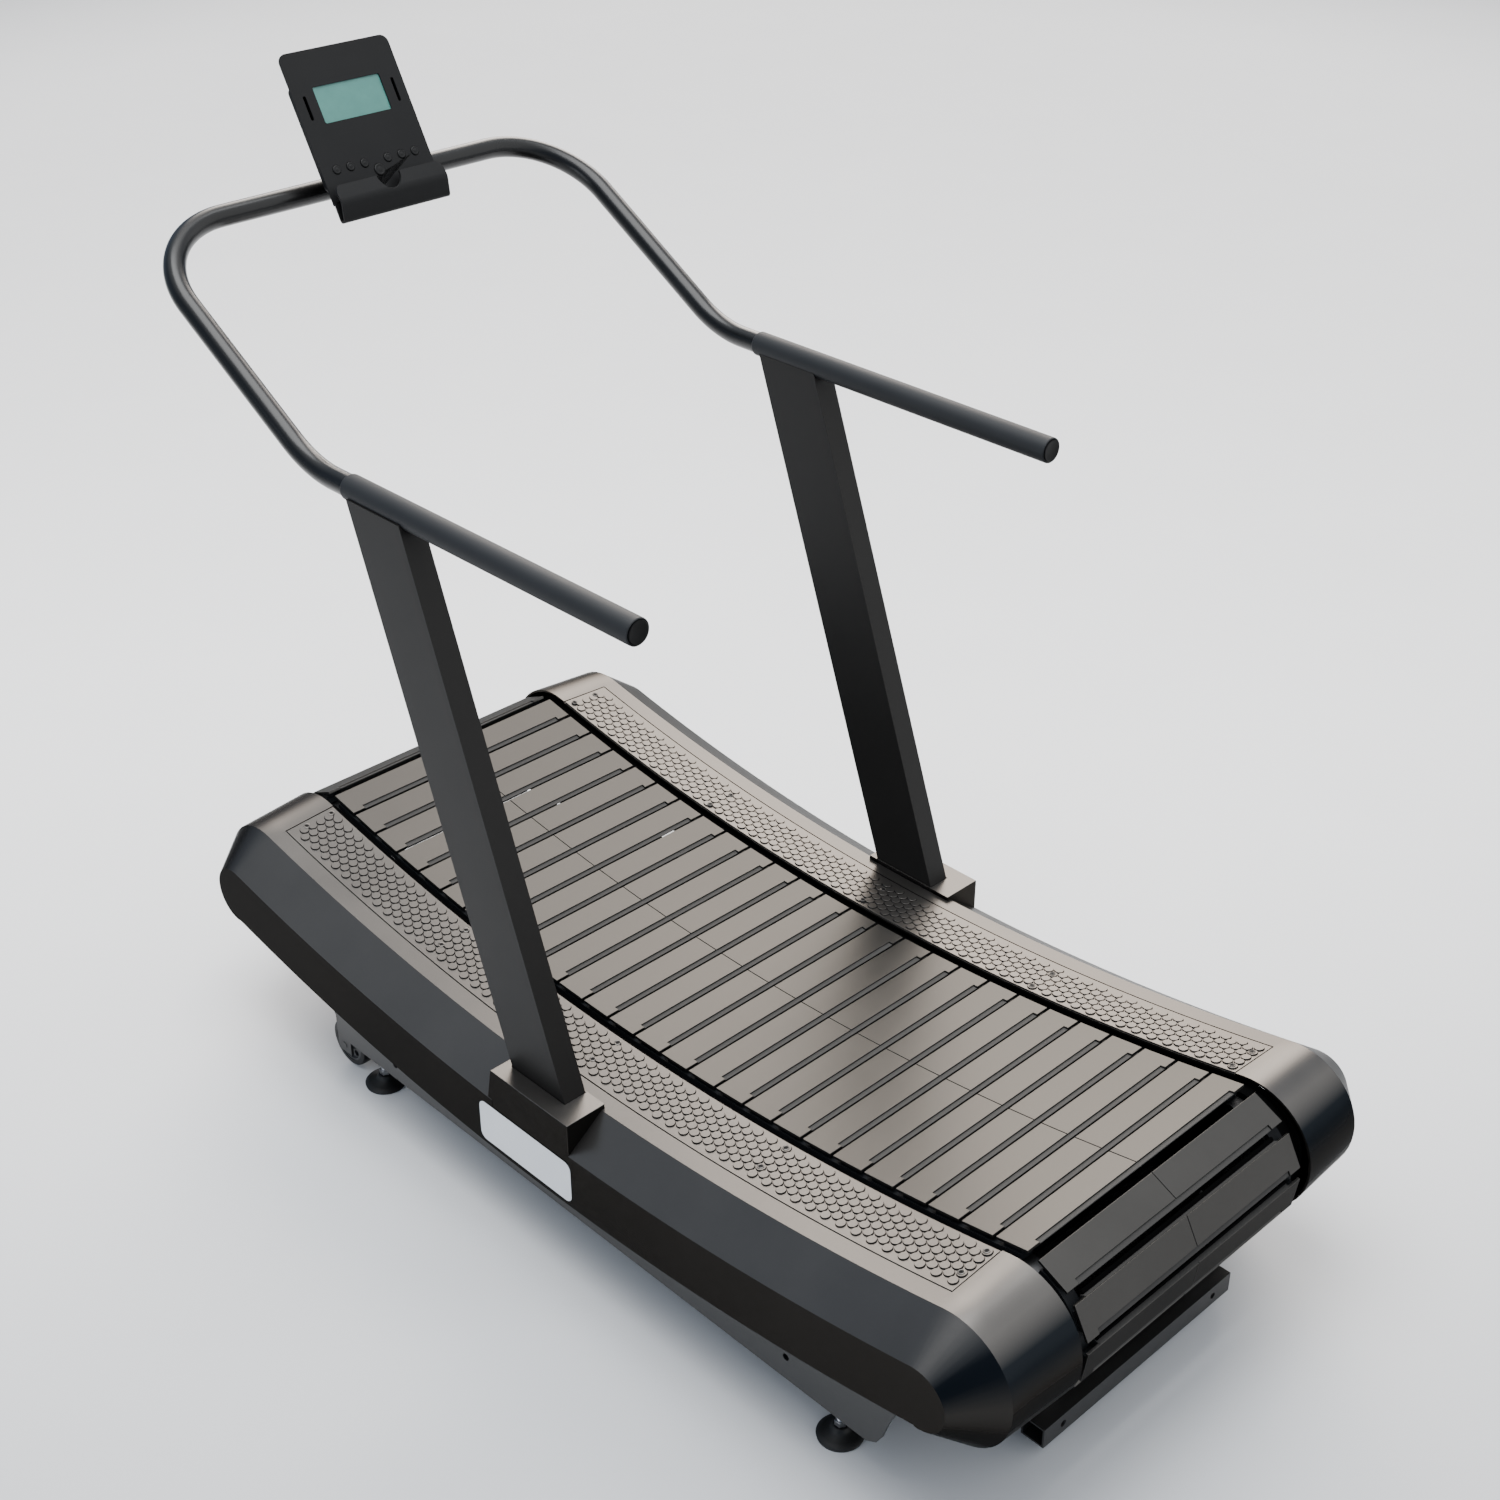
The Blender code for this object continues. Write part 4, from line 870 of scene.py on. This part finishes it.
def ground_with_light_pool(centre, inner, outer):
    """Plain pale grey with a painted pool of light: it falls off gently between two distances from a centre.
    """
    made = finish("ground_grey", (0.80, 0.80, 0.80), (0.83, 0.83, 0.83), 0.80, 0.0, 3.0, 0.0, patch=0.5)
    nodes, links = made.node_tree.nodes, made.node_tree.links
    coords = nodes.new("ShaderNodeTexCoord")
    gap = nodes.new("ShaderNodeVectorMath")
    gap.operation = "DISTANCE"
    gap.inputs[1].default_value = (*centre, 0)
    links.new(coords.outputs["Object"], gap.inputs[0])
    fall = nodes.new("ShaderNodeMapRange")
    fall.interpolation_type = "SMOOTHSTEP"
    fall.inputs["From Min"].default_value = inner
    fall.inputs["From Max"].default_value = outer
    links.new(gap.outputs["Value"], fall.inputs["Value"])
    # painted pool of light: away from the centre the floor colour is multiplied towards a dim bluish grey
    dim = nodes.new("ShaderNodeMix")
    dim.data_type = "RGBA"
    dim.blend_type = "MULTIPLY"
    dim.inputs["B"].default_value = (0.42, 0.435, 0.46, 1)
    shader = nodes["Principled BSDF"]
    links.new(shader.inputs["Base Color"].links[0].from_socket, dim.inputs["A"])
    links.new(fall.outputs["Result"], dim.inputs["Factor"])
    links.new(dim.outputs["Result"], shader.inputs["Base Color"])
    return made


ground.materials.append(ground_with_light_pool((3.15, 3.2), 3.3, 6.6))


def lamp(name, place, aim, wide, high, power, colour):
    data = bpy.data.lights.new(name, "AREA")
    data.shape = "RECTANGLE"
    data.size, data.size_y = wide, high
    data.energy = power
    data.color = colour
    made = bpy.data.objects.new(name, data)
    made.location = place
    made.rotation_euler = (Vector(aim) - Vector(place)).to_track_quat("-Z", "Y").to_euler()
    bpy.context.scene.collection.objects.link(made)


lamp("top_panel", (-0.3, 0.3, 4.8), (0, 0, 0.0), 3.4, 3.4, 300, (0.97, 0.985, 1.0))
lamp("left_fill", (-4.4, 0.4, 1.5), (0, 0, 0.3), 3.0, 1.8, 45, (0.92, 0.96, 1.0))


def studio(strength, windows):
    """The room: pale overhead, dim and bluish at the sides, with round soft windows of light.

    A window is its direction, the degrees from its middle to its rim and how far the rim is
    blurred, its power and its colour.
    """
    world = bpy.data.worlds.new("studio")
    bpy.context.scene.world = world
    world.use_nodes = True
    nodes, links = world.node_tree.nodes, world.node_tree.links
    coords = nodes.new("ShaderNodeTexCoord")
    split = nodes.new("ShaderNodeSeparateXYZ")
    ramp = nodes.new("ShaderNodeValToRGB")
    stops = ramp.color_ramp.elements
    stops[0].position, stops[0].color = 0.0, (0.17, 0.21, 0.27, 1)
    stops[1].position, stops[1].color = 1.0, (1.0, 1.0, 1.0, 1)
    stops.new(0.50).color = (0.12, 0.16, 0.23, 1)
    stops.new(0.78).color = (0.55, 0.60, 0.66, 1)
    links.new(coords.outputs["Generated"], split.inputs["Vector"])
    links.new(split.outputs["Z"], ramp.inputs["Fac"])
    links.new(ramp.outputs["Color"], nodes["Background"].inputs["Color"])
    nodes["Background"].inputs["Strength"].default_value = strength
    room = nodes["Background"].outputs["Background"]
    for way, wide, soft, power, colour in windows:
        near = nodes.new("ShaderNodeVectorMath")
        near.operation = "DOT_PRODUCT"
        near.inputs[1].default_value = Vector(way).normalized()
        links.new(coords.outputs["Generated"], near.inputs[0])
        rim = nodes.new("ShaderNodeMapRange")
        rim.interpolation_type = "SMOOTHSTEP"
        rim.inputs["From Min"].default_value = math.cos(math.radians(wide + soft))
        rim.inputs["From Max"].default_value = math.cos(math.radians(wide - soft))
        links.new(near.outputs["Value"], rim.inputs["Value"])
        window = nodes.new("ShaderNodeBackground")
        window.inputs["Color"].default_value = (*colour, 1)
        window.inputs["Strength"].default_value = power
        blend = nodes.new("ShaderNodeMixShader")
        links.new(rim.outputs["Result"], blend.inputs["Fac"])
        links.new(room, blend.inputs[1])
        links.new(window.outputs["Background"], blend.inputs[2])
        room = blend.outputs["Shader"]
    links.new(room, nodes["World Output"].inputs["Surface"])


studio(2.1, [((0.60, -0.76, 0.22), 42, 16, 1.9, (0.96, 0.98, 1.0)),
             ((0.676, 0.568, 0.469), 18, 7, 13.5, (1.0, 0.925, 0.85))])

ROUND, UP, FAR = math.radians(-44.19), math.radians(31.10), 3.348
SENSOR_MM, LENS_MM = 36, 53.3448
target = Vector((0.009, 0, 0.404)) + SHIFT
eye = target + FAR * Vector((math.sin(ROUND) * math.cos(UP), -math.cos(ROUND) * math.cos(UP),
                             math.sin(UP)))
lens = bpy.data.cameras.new("photo_camera")
lens.sensor_width = SENSOR_MM
lens.lens = LENS_MM
camera = bpy.data.objects.new("photo_camera", lens)
camera.location = eye
camera.rotation_euler = (target - eye).to_track_quat("-Z", "Y").to_euler()
bpy.context.scene.collection.objects.link(camera)
bpy.context.scene.camera = camera
